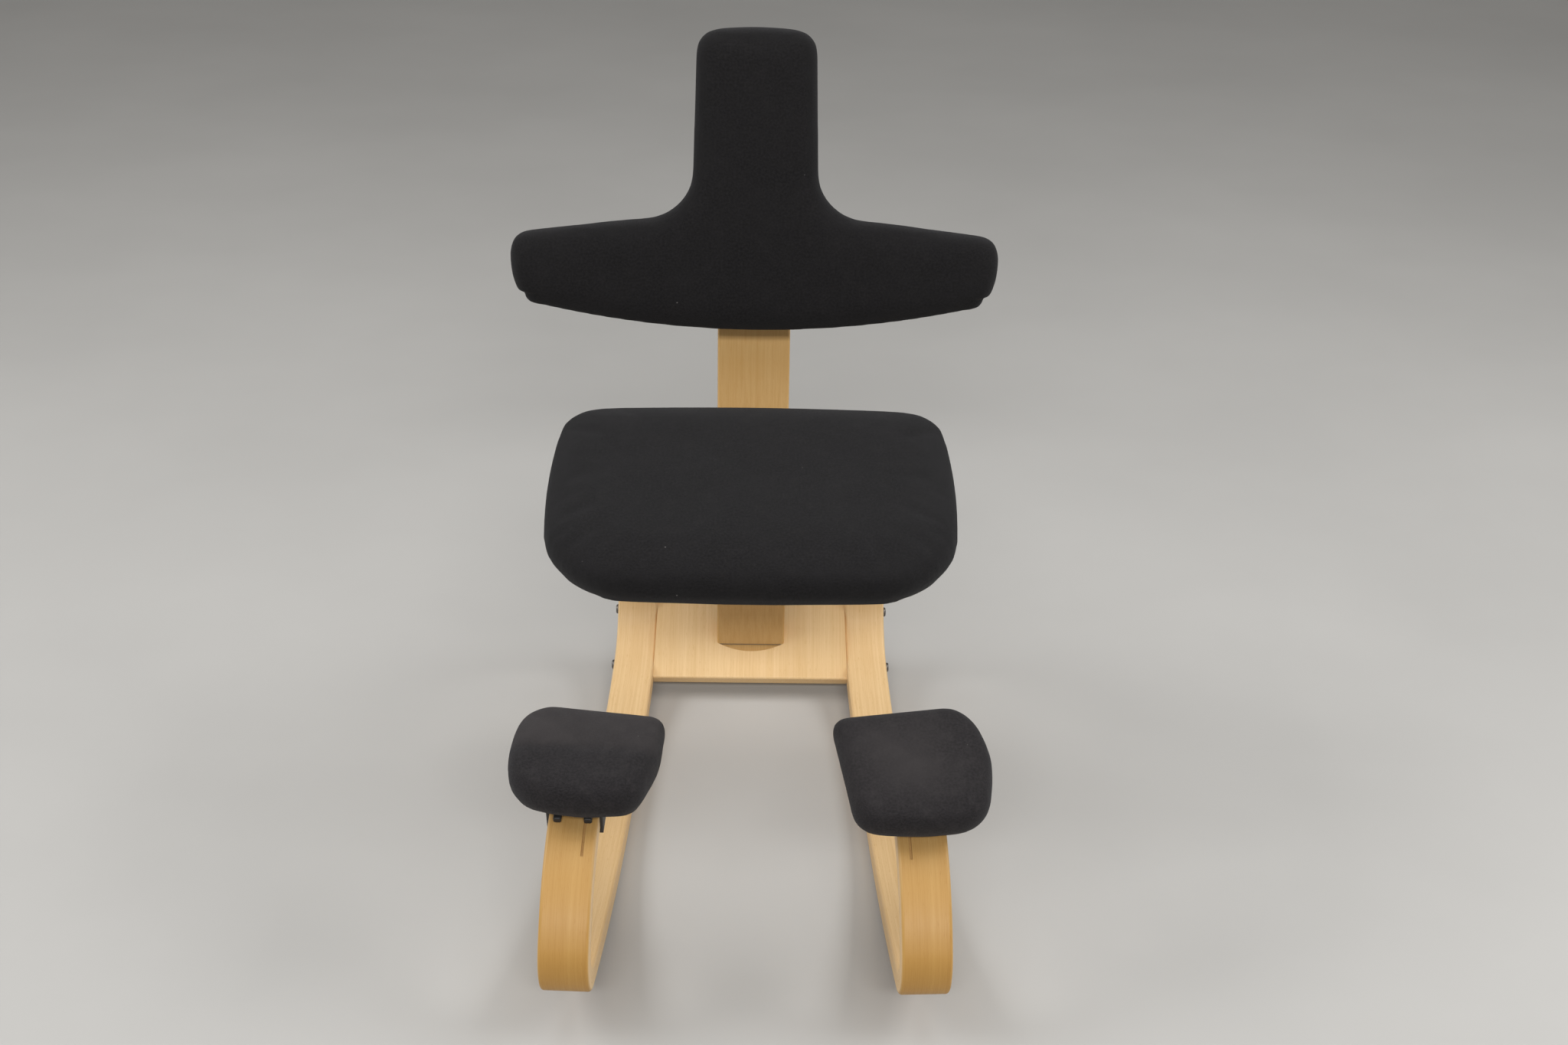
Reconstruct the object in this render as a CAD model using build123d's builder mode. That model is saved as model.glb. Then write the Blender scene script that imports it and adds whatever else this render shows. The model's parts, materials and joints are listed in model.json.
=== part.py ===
from build123d import *

import math
import os

# Driving dimensions, in millimetres and degrees.
# The chair faces -Y, +Z is up, and left and right are as seen from the front.

# Runners: two bent laminated wooden bands, each one continuous strip
band_width = 56
band_thickness = 27
band_arris = 4
runner_gap = 301
toe_out = 2.6
rest_length = 120
front_rocker_radius = 1790
front_rocker_turn = 13
nose_radius = 40
nose_turn = 102.8
arm_radius = 172
arm_turn = 75
rear_rocker_radius = 838
rear_rocker_turn = 14
rear_bend_radius = 100
leg_slope = 35
leg_length = 274
top_bend_radius = 110
seat_tilt = 8
seat_run_length = 112
seat_run_planed = 0.4

# Guide groove along each knee arm
groove_width = 3
groove_depth = 2.5
groove_offset = 14
groove_turn = 56

# Crossboard that ties the runners together in the rear bends
board_length = 126
board_thickness = 21
board_angle = 50
board_inset = 9
board_arris = 3
bolt_diameter = 6
bolt_head_diameter = 11
bolt_head_height = 3.2
bolt_spacing = 84
bolt_reach = 44
barrel_nut_diameter = 12
barrel_nut_length = 16
barrel_nut_reach = 32

# Stem: bent wooden upright from the crossboard to the backrest
stem_width = 94
stem_thickness = 24
stem_arris = 3
stem_lean = 5.7
stem_foot_offset = 3
stem_lower_length = 353
stem_bend_radius = 780
back_lean = 4.6
stem_upper_length = 312
stem_top_round = 18
slot_width = 9
slot_up = 90
slot_down = 50

# Steel foot bracket under and behind the stem
bracket_steel = 3
bracket_rise = 80
bracket_overhang = 24
recess_sagitta = 11
bracket_screw_length = 18

# Seat
rail_width = 42
rail_thickness = 24
rail_length = 396
rail_spacing = 68
rail_bolt_diameter = 6
rail_bolt_head_diameter = 12
rail_bolt_head_height = 4
rail_bolt_reach = 16
seat_board_thickness = 12
seat_board_margin = 12
seat_width = 490
seat_length = 376
seat_front_taper = 6
seat_side_bulge = 12
seat_end_bulge = 9
seat_rear_corner_radius = 46
seat_front_corner_radius = 102
seat_thickness = 50
seat_setback = 14.5

# Backrest
back_curve_radius = 880
shell_thickness = 8
shell_margin = 7
cushion_thickness = 38
cushion_front_round = 15
cushion_rear_round = 6
wing_half_span = 300
wing_tip_low = -53
wing_tip_high = 24
wing_low = -107
wing_root_high = 37
neck_top_high = 270
neck_root_half = 78
neck_top_half = 72
neck_top_rise = 6
neck_flare_radius = 62
neck_corner_radius = 26
tip_high_radius = 20
tip_low_radius = 34
carrier_along = 110

# Backrest carrier: steel channel on the stem, spacer block and clamp
carrier_height = 84
carrier_steel = 4
carrier_flange = 18
carrier_clearance = 0.4
spacer_width = 92
spacer_height = 110
spacer_depth = 20
clamp_diameter = 8
clamp_head_diameter = 17.6
clamp_head_height = 4
back_knob_diameter = 44
back_knob_height = 18
washer_diameter = 24
washer_thickness = 2
back_screw_length = 17

# Knee pads, set at their own tilt on each side
knee_position = 4
knee_tilt_left = 5
knee_tilt_right = 19
saddle_span = 22
saddle_steel = 3
saddle_clearance = 0.4
lug_offset = 17
lug_thickness = 6
lug_length = 24
pin_height = 10
pin_diameter = 6
pin_head_diameter = 10
pin_head_height = 2.5
hinge_barrel_diameter = 12
hinge_plate_width = 70
hinge_plate_length = 56
hinge_plate_thickness = 2.5
hinge_plate_rise = 7.5
knee_board_thickness = 9
knee_cushion_thickness = 36
knee_half_width = 87
knee_half_length = 70
knee_rear_skew = 6
knee_inner_slant = 8
knee_outer_bulge = 14
knee_front_bulge = 7
knee_inner_rear_radius = 10
knee_outer_radius = 40
knee_inner_front_radius = 26
knee_inward = 8
knee_board_margin = 6
knee_bolt_diameter = 6
knee_knob_diameter = 34
knee_knob_height = 14

# Screws and fits
screw_diameter = 4
screw_head_diameter = 8
screw_head_height = 2.5
screw_sink = 1
fit = 0.2
running_fit = 0.05
knob_gap = 0.3

half_band = band_thickness / 2
toe = math.radians(toe_out)

# The flat stretch lies where the nose and the rear bend reach equally far from the origin
front_sweep = math.sin(math.radians(front_rocker_turn))
rear_sweep = math.sin(math.radians(rear_rocker_turn))
front_reach = (front_rocker_radius - nose_radius) * front_sweep + nose_radius
rear_reach = (rear_rocker_radius - rear_bend_radius) * rear_sweep + rear_bend_radius
rest_middle = (front_reach - rear_reach) / 2
rest_front = rest_middle - rest_length / 2
rest_rear = rest_middle + rest_length / 2

os.makedirs("parts", exist_ok=True)


def save(piece, name):
    piece.part.label = name
    export_step(piece.part, f"parts/{name}.step")


def band_side(outward):
    """Edges of the band on a line this far outside its middle, from arm to seat run."""
    rest = Line((rest_front, half_band - outward), (rest_rear, half_band - outward))
    front = JernArc(rest @ 0, -(rest % 0), front_rocker_radius + outward, -front_rocker_turn)
    nose = JernArc(front @ 1, front % 1, nose_radius + outward, -nose_turn)
    arm = JernArc(nose @ 1, nose % 1, arm_radius + outward, -arm_turn)
    rear = JernArc(rest @ 1, rest % 1, rear_rocker_radius + outward, rear_rocker_turn)
    bend_turn = 180 - leg_slope - rear_rocker_turn
    bend = JernArc(rear @ 1, rear % 1, rear_bend_radius + outward, bend_turn)
    leg = Line(bend @ 1, bend @ 1 + (bend % 1) * leg_length)
    top = JernArc(leg @ 1, leg % 1, top_bend_radius + outward, leg_slope + seat_tilt)
    run = Line(top @ 1, top @ 1 + (top % 1) * seat_run_length)
    return arm, bend, run


def side_plane(side):
    """Middle plane of a runner, -1 left or 1 right: x to the rear, y up, z to the right."""
    normal = Vector(math.cos(toe), side * math.sin(toe), 0)
    return Plane(
        origin=(side * (runner_gap / 2 + band_width / 2 / math.cos(toe)), 0, 0),
        x_dir=(-side * math.sin(toe), math.cos(toe), 0),
        z_dir=normal,
    )


# The band's middle line, laid flat, gives the centres that the other pieces are placed by
with BuildLine() as band_middle:
    arm_edge, bend_edge, run_edge = band_side(0)
arm_centre = arm_edge.center_point
bend_centre = bend_edge.center_point
run_start = run_edge @ 0
run_end = run_edge @ 1

# Seat plane: the flat that is planed on top of both seat runs, x to the right and y to the rear
tilt = math.radians(seat_tilt)
seat_normal = Vector(0, -math.sin(tilt), math.cos(tilt))
run_middle = (run_start + run_end) * 0.5
run_top = half_band - seat_run_planed
seat_plane = Plane(
    origin=Vector(0, run_middle.X * math.cos(toe), run_middle.Y) + seat_normal * run_top,
    x_dir=(1, 0, 0),
    z_dir=seat_normal,
)

# Crossboard plane: its upper face, x to the right and y up the slope
slant = math.radians(board_angle)
board_face = rear_bend_radius - half_band - board_inset
board_normal = Vector(0, -math.cos(slant), math.sin(slant))
bend_middle = Vector(0, bend_centre.X * math.cos(toe), bend_centre.Y)
board_plane = Plane(origin=bend_middle - board_normal * board_face, x_dir=(1, 0, 0), z_dir=board_normal)


def along_runner(point):
    """A point of the middle plane in a runner's own x and y."""
    return point.Y / math.cos(toe), point.Z


bolt_points = [
    along_runner(board_plane.from_local_coords(Vector(0, along, -board_thickness / 2)))
    for along in (-bolt_spacing / 2, bolt_spacing / 2)
]

# Rail bolts come up through the seat runs into the rails
rail_places = (-rail_spacing / 2, rail_spacing / 2)


def rail_bolt_planes(side):
    """Places on the seat plane above the middle of a seat run, at each rail."""
    centre_line = side_plane(side)
    places = []
    for along in rail_places:
        middle = seat_plane.from_local_coords(Vector(0, along, 0))
        across = centre_line.origin.X - side * middle.Y * math.tan(toe)
        places.append(Vector(across, along, 0))
    return places


rail_bolt_places = rail_bolt_planes(-1) + rail_bolt_planes(1)

# Runners
left_plane = side_plane(-1)
arm_outer = arm_radius + half_band
arm_inner = arm_radius - half_band


def radial(angle):
    """Direction away from the arm's centre in a runner's x and y, an angle forward of upright."""
    return Vector(-math.sin(math.radians(angle)), math.cos(math.radians(angle)), 0)


with BuildPart() as runner_left:
    with BuildSketch(left_plane) as band:
        with BuildLine():
            outer_arm, outer_bend, outer_run = band_side(half_band)
            inner_arm, inner_bend, inner_run = band_side(-half_band)
            Line(outer_arm @ 1, inner_arm @ 1)
            Line(outer_run @ 1, inner_run @ 1)
        make_face()
    extrude(amount=band_width / 2, both=True)
    side_faces = faces().filter_by(Axis(left_plane.origin, left_plane.z_dir))
    band_ends = faces().filter_by(GeomType.PLANE).group_by(SortBy.AREA)[0]
    fillet([rim for rim in side_faces.edges() if rim not in band_ends.edges()], band_arris)
    split(bisect_by=seat_plane, keep=Keep.BOTTOM)
    # Bolt holes into the crossboard
    with BuildSketch(left_plane):
        with Locations(*bolt_points):
            Circle(bolt_diameter / 2 + fit)
    extrude(amount=band_width, both=True, mode=Mode.SUBTRACT)
    # Bolt holes up into the seat rails
    with BuildSketch(seat_plane):
        with Locations(*rail_bolt_planes(-1)):
            Circle(rail_bolt_diameter / 2 + fit)
    extrude(amount=2 * band_thickness, both=True, mode=Mode.SUBTRACT)
    # Guide groove on the convex face of the arm
    groove_first = knee_position - groove_turn / 2
    groove_middle = arm_centre + radial(knee_position) * arm_outer
    groove_ends = [arm_centre + radial(groove_first + turn) * arm_outer for turn in (0, groove_turn)]
    with BuildSketch(left_plane.offset(groove_offset - groove_width / 2)):
        with BuildLine() as groove_line:
            ThreePointArc(groove_ends[0], groove_middle, groove_ends[1])
        trace(line_width=2 * groove_depth)
    extrude(amount=groove_width, mode=Mode.SUBTRACT)
save(runner_left, "runner_left")

with BuildPart() as runner_right:
    mirror(runner_left.part, about=Plane.YZ)
save(runner_right, "runner_right")

# Stem foot: where the stem's middle line meets the crossboard
lean = math.radians(stem_lean)
stem_up = Vector(0, -math.sin(lean), math.cos(lean))
stem_back = Vector(0, math.cos(lean), math.sin(lean))
foot = board_plane.from_local_coords(Vector(0, stem_foot_offset, 0))
foot_half = stem_thickness / 2 / math.sin(slant + lean)
foot_front = stem_foot_offset - foot_half
foot_rear = stem_foot_offset + foot_half
leaf_rear = foot_rear + bracket_overhang
leaf_width = stem_width - 2 * stem_arris
stem_rear = foot + stem_back * (stem_thickness / 2)
stem_rear_plane = Plane(origin=stem_rear, x_dir=(-1, 0, 0), z_dir=stem_back)
bracket_screw_across = (-leaf_width / 3, leaf_width / 3)
leaf_screw_places = [(across, foot_rear + bracket_overhang * 0.6) for across in bracket_screw_across]
rise_screw_places = [(across, bracket_rise * 0.75) for across in bracket_screw_across]


def drive_screws(plane, places, length):
    """Screws with their heads standing on a plane and their shanks going down into it."""
    with BuildSketch(plane) as heads:
        with Locations(*places):
            Circle(screw_head_diameter / 2)
    extrude(heads.sketch, amount=screw_head_height)
    with BuildSketch(plane) as shanks:
        with Locations(*places):
            Circle(screw_diameter / 2)
    extrude(shanks.sketch, amount=-length)


def drill(plane, places, diameter, depth):
    """Round holes for this diameter, with a fit's room, down from a plane."""
    with BuildSketch(plane) as holes:
        with Locations(*places):
            Circle(diameter / 2 + fit)
    extrude(holes.sketch, amount=-depth, mode=Mode.SUBTRACT)


# Crossboard, with an arc-fronted recess for the foot bracket
inner_faces = [side_plane(side).offset(-side * band_width / 2) for side in (-1, 1)]
nut_places = []
for side in (-1, 1):
    for along in (-bolt_spacing / 2, bolt_spacing / 2):
        level = board_plane.from_local_coords(Vector(0, along, -board_thickness / 2))
        face_x = runner_gap / 2 - level.Y * math.tan(toe)
        drift = barrel_nut_reach * math.sin(toe) * math.sin(slant)
        nut_places.append((side * (face_x - barrel_nut_reach), along - drift))

with BuildPart() as crossboard:
    with BuildSketch(board_plane):
        Rectangle(runner_gap, board_length)
    extrude(amount=-board_thickness)
    fillet(edges().filter_by(Axis.X), board_arris)
    split(bisect_by=inner_faces[0], keep=Keep.TOP)
    split(bisect_by=inner_faces[1], keep=Keep.BOTTOM)
    with BuildSketch(board_plane):
        half_recess = leaf_width / 2 + fit
        with BuildLine():
            front = ThreePointArc(
                (-half_recess, foot_front), (0, foot_front - recess_sagitta), (half_recess, foot_front)
            )
            recess_rear = leaf_rear + fit
            Polyline(front @ 1, (half_recess, recess_rear), (-half_recess, recess_rear), front @ 0)
        make_face()
    extrude(amount=-bracket_steel, mode=Mode.SUBTRACT)
    for side in (-1, 1):
        with BuildSketch(side_plane(side)):
            with Locations(*bolt_points):
                Circle(bolt_diameter / 2 + fit)
        extrude(amount=-side * (band_width / 2 + bolt_reach + fit), mode=Mode.SUBTRACT)
    nut_plane = board_plane.offset(-board_thickness)
    with BuildSketch(nut_plane):
        with Locations(*nut_places):
            Circle(barrel_nut_diameter / 2 + fit)
    extrude(amount=(board_thickness + barrel_nut_length) / 2, mode=Mode.SUBTRACT)
    drill(board_plane, leaf_screw_places, screw_diameter, bracket_screw_length + fit)
save(crossboard, "crossboard")

with BuildPart() as crossboard_bolts:
    for side in (-1, 1):
        outer_face = side_plane(side).offset(side * band_width / 2)
        with BuildSketch(outer_face):
            with Locations(*bolt_points):
                Circle(bolt_head_diameter / 2)
        extrude(amount=side * bolt_head_height)
        with BuildSketch(outer_face):
            with Locations(*bolt_points):
                Circle(bolt_diameter / 2)
        extrude(amount=-side * (band_width + bolt_reach))
        outward = Axis(outer_face.origin, outer_face.z_dir * side)
        rims = edges().filter_by(GeomType.CIRCLE).sort_by(outward)
        fillet(rims[-len(bolt_points):], bolt_head_height / 2)
save(crossboard_bolts, "crossboard_bolts")

with BuildPart() as crossboard_barrel_nuts:
    with BuildSketch(board_plane.offset(-(board_thickness + barrel_nut_length) / 2)):
        with Locations(*nut_places):
            Circle(barrel_nut_diameter / 2)
    extrude(amount=barrel_nut_length)
    for side in (-1, 1):
        with BuildSketch(side_plane(side)):
            with Locations(*bolt_points):
                Circle(bolt_diameter / 2 + fit)
        extrude(amount=-side * (band_width + bolt_reach), mode=Mode.SUBTRACT)
save(crossboard_barrel_nuts, "crossboard_barrel_nuts")


# Stem
def stem_side(rearward):
    """Side view of the stem on a line this far behind its middle, as y and z."""
    base = foot + stem_back * rearward
    start = base - stem_up * stem_thickness
    knee = base + stem_up * stem_lower_length
    lower = Line((start.Y, start.Z), (knee.Y, knee.Z))
    bend = JernArc(lower @ 1, lower % 1, stem_bend_radius - rearward, -(stem_lean + back_lean))
    upper = Line(bend @ 1, bend @ 1 + (bend % 1) * stem_upper_length)
    return lower, upper


with BuildLine(mode=Mode.PRIVATE) as stem_front_line:
    lower_edge, upper_edge = stem_side(-stem_thickness / 2)
back_up = Vector(0, math.sin(math.radians(back_lean)), math.cos(math.radians(back_lean)))
back_forward = Vector(0, -back_up.Z, back_up.Y)
upper_start = Vector(0, (upper_edge @ 0).X, (upper_edge @ 0).Y)

# Backrest plane: on the stem's front face at the clamp bolt, x to the right, y up, z forward
back_plane = Plane(origin=upper_start + back_up * carrier_along, x_dir=(1, 0, 0), z_dir=back_forward)

with BuildPart() as stem:
    with BuildSketch(Plane.YZ):
        with BuildLine():
            front_lower, front_upper = stem_side(-stem_thickness / 2)
            rear_lower, rear_upper = stem_side(stem_thickness / 2)
            Line(front_lower @ 0, rear_lower @ 0)
            Line(front_upper @ 1, rear_upper @ 1)
        make_face()
    extrude(amount=stem_width / 2, both=True)
    top_face = faces().sort_by(Axis.Z)[-1]
    fillet(top_face.edges().filter_by(Axis.X, reverse=True), stem_top_round)
    fillet(edges().filter_by(Axis.X).sort_by(Axis.Z)[-2:], stem_arris)
    split(bisect_by=board_plane, keep=Keep.TOP)
    with BuildSketch(back_plane):
        with Locations((0, (slot_up - slot_down) / 2)):
            SlotCenterToCenter(slot_up + slot_down, slot_width, rotation=90)
    extrude(amount=-stem_thickness, mode=Mode.SUBTRACT)
    drill(stem_rear_plane, rise_screw_places, screw_diameter, bracket_screw_length + fit)
save(stem, "stem")

# Foot bracket: a leaf let into the crossboard under the stem, and a leaf up the stem's rear face
with BuildPart() as stem_bracket:
    with BuildSketch(stem_rear_plane):
        with Locations((0, (bracket_rise - stem_thickness) / 2)):
            Rectangle(leaf_width, bracket_rise + stem_thickness)
    extrude(amount=bracket_steel)
    split(bisect_by=board_plane, keep=Keep.TOP)
    with BuildSketch(board_plane):
        with Locations((0, (foot_front + leaf_rear) / 2)):
            Rectangle(leaf_width, leaf_rear - foot_front)
    extrude(amount=-bracket_steel)
    drill(board_plane, leaf_screw_places, screw_diameter, bracket_steel)
    drill(stem_rear_plane.offset(bracket_steel), rise_screw_places, screw_diameter, bracket_steel)
save(stem_bracket, "stem_bracket")

with BuildPart() as stem_bracket_screws:
    drive_screws(board_plane, leaf_screw_places, bracket_screw_length)
    drive_screws(stem_rear_plane.offset(bracket_steel), rise_screw_places, bracket_screw_length)
save(stem_bracket_screws, "stem_bracket_screws")

# Seat rails across both seat runs, bolted from below
seat_screw_across = runner_gap / 4
seat_screw_length = rail_thickness + seat_board_thickness * 0.7
run_depth = band_thickness - seat_run_planed
for place, name in zip(rail_places, ("front", "rear")):
    with BuildPart() as rail:
        with BuildSketch(seat_plane):
            with Locations((0, place)):
                Rectangle(rail_length, rail_width)
        extrude(amount=rail_thickness)
        fillet(edges().filter_by(Axis.X), board_arris)
        drill(
            seat_plane.offset(rail_bolt_reach + fit),
            [spot for spot in rail_bolt_places if spot.Y == place],
            rail_bolt_diameter,
            rail_bolt_reach + 2 * fit,
        )
        drill(
            seat_plane.offset(rail_thickness),
            [(-seat_screw_across, place), (seat_screw_across, place)],
            screw_diameter,
            rail_thickness,
        )
    save(rail, f"seat_rail_{name}")

with BuildPart() as seat_rail_bolts:
    with BuildSketch(seat_plane.offset(-run_depth - fit)):
        with Locations(*rail_bolt_places):
            Circle(rail_bolt_head_diameter / 2)
    extrude(amount=-rail_bolt_head_height)
    with BuildSketch(seat_plane.offset(-run_depth - fit)):
        with Locations(*rail_bolt_places):
            Circle(rail_bolt_diameter / 2)
    extrude(amount=run_depth + fit + rail_bolt_reach)
save(seat_rail_bolts, "seat_rail_bolts")


def seat_outline(inset=0):
    """Plan of the seat, drawn in by an inset: bowed edges, round corners, narrower in front."""
    full_w = seat_width / 2 - inset
    full_l = seat_length / 2 - inset
    rear_w = full_w - seat_side_bulge
    front_w = rear_w - seat_front_taper
    half_l = full_l - seat_end_bulge
    with BuildLine() as plan:
        ThreePointArc((-front_w, -half_l), (0, -full_l), (front_w, -half_l))
        ThreePointArc((front_w, -half_l), (full_w, 0), (rear_w, half_l))
        ThreePointArc((rear_w, half_l), (0, full_l), (-rear_w, half_l))
        ThreePointArc((-rear_w, half_l), (-full_w, 0), (-front_w, -half_l))
    make_face(plan.edges())
    for edge_y, radius in ((-half_l, seat_front_corner_radius), (half_l, seat_rear_corner_radius)):
        fillet(vertices().filter_by_position(Axis.Y, edge_y - fit, edge_y + fit), radius - inset)


# Seat board, screwed up through the rails
seat_screw_places = [
    (x, place) for x in (-seat_screw_across, seat_screw_across) for place in rail_places
]
seat_base = seat_plane.offset(rail_thickness)
seat_middle = seat_base.from_local_coords(Vector(0, seat_setback, 0))
seat_board_plane = Plane(origin=seat_middle, x_dir=seat_plane.x_dir, z_dir=seat_plane.z_dir)
with BuildPart() as seat_board:
    with BuildSketch(seat_board_plane):
        seat_outline(seat_board_margin)
    extrude(amount=seat_board_thickness)
    seat_screw_depth = seat_screw_length - rail_thickness + fit
    drill(seat_base.offset(seat_screw_depth), seat_screw_places, screw_diameter, seat_screw_depth)
save(seat_board, "seat_board")

with BuildPart() as seat_board_screws:
    drive_screws(-seat_plane, [(-x, y) for x, y in seat_screw_places], seat_screw_length)
save(seat_board_screws, "seat_board_screws")

# Seat cushion: sides drawn in at the board, full in the middle, crowned on top
cushion_levels = ((0, 0.965), (0.3, 1), (0.6, 0.992), (0.86, 0.945), (1, 0.76))
cushion_plane = seat_board_plane.offset(seat_board_thickness)
with BuildPart() as seat_cushion:
    for level, share in cushion_levels:
        with BuildSketch(cushion_plane.offset(level * seat_thickness)):
            seat_outline()
            scale(by=share)
    loft()
save(seat_cushion, "seat_cushion")


# Backrest: a curved shell and cushion of the same outline, a neck above two wings
def back_outline(inset=0):
    """Front view of the backrest, drawn in by an inset."""
    span = wing_half_span - inset
    tip_low = wing_tip_low + inset
    tip_high = wing_tip_high - inset
    neck_high = neck_top_high - neck_top_rise - inset
    root = (neck_root_half - inset, wing_root_high - inset)
    neck = (neck_top_half - inset, neck_high)
    with BuildLine() as view:
        ThreePointArc((-span, tip_low), (0, wing_low + inset), (span, tip_low))
        Polyline((span, tip_low), (span, tip_high), root, neck)
        ThreePointArc(neck, (0, neck_top_high - inset), (-neck[0], neck_high))
        Polyline((-neck[0], neck_high), (-root[0], root[1]), (-span, tip_high), (-span, tip_low))
    make_face(view.edges())
    corners = (
        (tip_low, tip_low_radius - inset),
        (tip_high, tip_high_radius - inset),
        (root[1], neck_flare_radius + inset),
        (neck_high, neck_corner_radius - inset),
    )
    for height, radius in corners:
        fillet(vertices().filter_by_position(Axis.Y, height - fit, height + fit), radius)


shell_rear = carrier_clearance + carrier_steel + spacer_depth
back_depth = shell_rear + shell_thickness + cushion_thickness
back_reach = 2 * neck_top_high
plan_plane = Plane(origin=back_plane.origin, x_dir=(1, 0, 0), z_dir=back_up)
curve_middle = (0, -shell_rear - back_curve_radius)


def curved_layer(outer, inner, outline_inset):
    """The backrest's outline between two upright cylinders, whose radii are given."""
    with BuildSketch(plan_plane) as layer:
        with Locations(curve_middle):
            Circle(outer)
            Circle(inner, mode=Mode.SUBTRACT)
    extrude(layer.sketch, amount=back_reach, both=True)
    with BuildSketch(back_plane) as view:
        back_outline(outline_inset)
    extrude(view.sketch, amount=back_curve_radius / 2, mode=Mode.INTERSECT)


shell_inner = back_curve_radius - shell_thickness
shell_screw_x = spacer_width / 2 - 2 * screw_head_diameter
shell_screw_y = spacer_height / 2 - 2 * screw_head_diameter
carrier_screw_x = spacer_width / 2 - screw_head_diameter
carrier_screw_y = carrier_height / 2 - 2 * screw_head_diameter
shell_screw_places = [
    (x, y) for x in (-shell_screw_x, shell_screw_x) for y in (-shell_screw_y, shell_screw_y)
]
carrier_screw_places = [
    (x, y) for x in (-carrier_screw_x, carrier_screw_x) for y in (-carrier_screw_y, carrier_screw_y)
]
shell_screw_plane = back_plane.offset(shell_rear + shell_thickness - screw_sink - screw_head_height)
carrier_screw_plane = -back_plane.offset(carrier_clearance + screw_head_height + fit)

with BuildPart() as backrest_shell:
    curved_layer(back_curve_radius, shell_inner, shell_margin)
    drill(back_plane.offset(back_depth), shell_screw_places, screw_diameter, back_depth)
    drill(
        back_plane.offset(back_depth),
        shell_screw_places,
        screw_head_diameter,
        cushion_thickness + screw_sink + screw_head_height + fit,
    )
save(backrest_shell, "backrest_shell")

with BuildPart() as backrest_cushion:
    curved_layer(shell_inner, shell_inner - cushion_thickness, 0)
    skins = faces().filter_by(GeomType.CYLINDER).sort_by(SortBy.AREA)[-2:]
    fillet(skins.sort_by(Axis.Y)[-1].edges(), cushion_rear_round)
    skins = faces().filter_by(GeomType.CYLINDER).sort_by(SortBy.AREA)[-2:]
    fillet(skins.sort_by(Axis.Y)[0].edges(), cushion_front_round)
save(backrest_cushion, "backrest_cushion")

# Spacer block between the shell and the carrier, hollowed to the shell's curve
with BuildPart() as backrest_spacer:
    with BuildSketch(back_plane.offset(carrier_clearance + carrier_steel)):
        RectangleRounded(spacer_width, spacer_height, band_arris)
    extrude(amount=spacer_depth)
    with BuildSketch(plan_plane):
        with Locations(curve_middle):
            Circle(back_curve_radius)
    extrude(amount=back_reach, both=True, mode=Mode.SUBTRACT)
    block_rear = carrier_clearance + carrier_steel
    head_room = clamp_head_height + fit
    drill(back_plane.offset(block_rear + head_room), [(0, 0)], clamp_head_diameter, head_room)
    drill(back_plane.offset(shell_rear), shell_screw_places, screw_diameter, back_screw_length)
    rear_screw_places = [(-x, y) for x, y in carrier_screw_places]
    drill(-back_plane.offset(block_rear), rear_screw_places, screw_diameter, back_screw_length)
save(backrest_spacer, "backrest_spacer")

# Carrier: a steel channel that rides on the stem
channel_half = stem_width / 2 + carrier_clearance
front_aligned = (Align.CENTER, Align.MIN)
with BuildPart() as backrest_carrier:
    with BuildSketch(plan_plane):
        with Locations((0, -(carrier_clearance + carrier_steel))):
            channel_width = 2 * (channel_half + carrier_steel)
            Rectangle(channel_width, carrier_flange + carrier_steel, align=front_aligned)
        with Locations((0, -carrier_clearance)):
            Rectangle(2 * channel_half, 2 * carrier_flange, align=front_aligned, mode=Mode.SUBTRACT)
    extrude(amount=carrier_height / 2, both=True)
    drill(back_plane.offset(block_rear), [(0, 0)], clamp_diameter, carrier_steel)
    drill(back_plane.offset(block_rear), carrier_screw_places, screw_diameter, carrier_steel)
    drill(
        back_plane.offset(carrier_clearance + screw_head_height + fit),
        carrier_screw_places,
        screw_head_diameter,
        screw_head_height + fit,
    )
save(backrest_carrier, "backrest_carrier")

with BuildPart() as backrest_screws:
    drive_screws(shell_screw_plane, shell_screw_places, back_screw_length)
    drive_screws(carrier_screw_plane, rear_screw_places, back_screw_length)
save(backrest_screws, "backrest_screws")

# Clamp bolt through the slot, washer and star knob behind the stem
washer_front = stem_thickness + knob_gap
knob_front = washer_front + washer_thickness + knob_gap
with BuildPart() as backrest_clamp_bolt:
    with BuildSketch(back_plane.offset(block_rear)):
        Circle(clamp_head_diameter / 2)
    extrude(amount=clamp_head_height)
    with BuildSketch(back_plane.offset(block_rear)):
        Circle(clamp_diameter / 2)
    extrude(amount=-(block_rear + knob_front + back_knob_height))
save(backrest_clamp_bolt, "backrest_clamp_bolt")

with BuildPart() as backrest_washer:
    with BuildSketch(back_plane.offset(-washer_front)):
        Circle(washer_diameter / 2)
        Circle(clamp_diameter / 2 + fit, mode=Mode.SUBTRACT)
    extrude(amount=-washer_thickness)
save(backrest_washer, "backrest_washer")


def star_knob(plane, diameter, height, bolt):
    """Six-lobed hand knob standing on a plane, bored for a bolt."""
    lobes = 6
    hollow = diameter / 6
    with BuildSketch(plane) as star:
        Circle(diameter / 2)
        with PolarLocations(diameter / 2 + hollow / 2, lobes):
            Circle(hollow, mode=Mode.SUBTRACT)
        fillet(vertices(), hollow / 4)
        Circle(bolt / 2 + running_fit, mode=Mode.SUBTRACT)
    extrude(star.sketch, amount=height)


with BuildPart() as backrest_knob:
    star_knob(-back_plane.offset(-knob_front), back_knob_diameter, back_knob_height, clamp_diameter)
save(backrest_knob, "backrest_knob")


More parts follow.
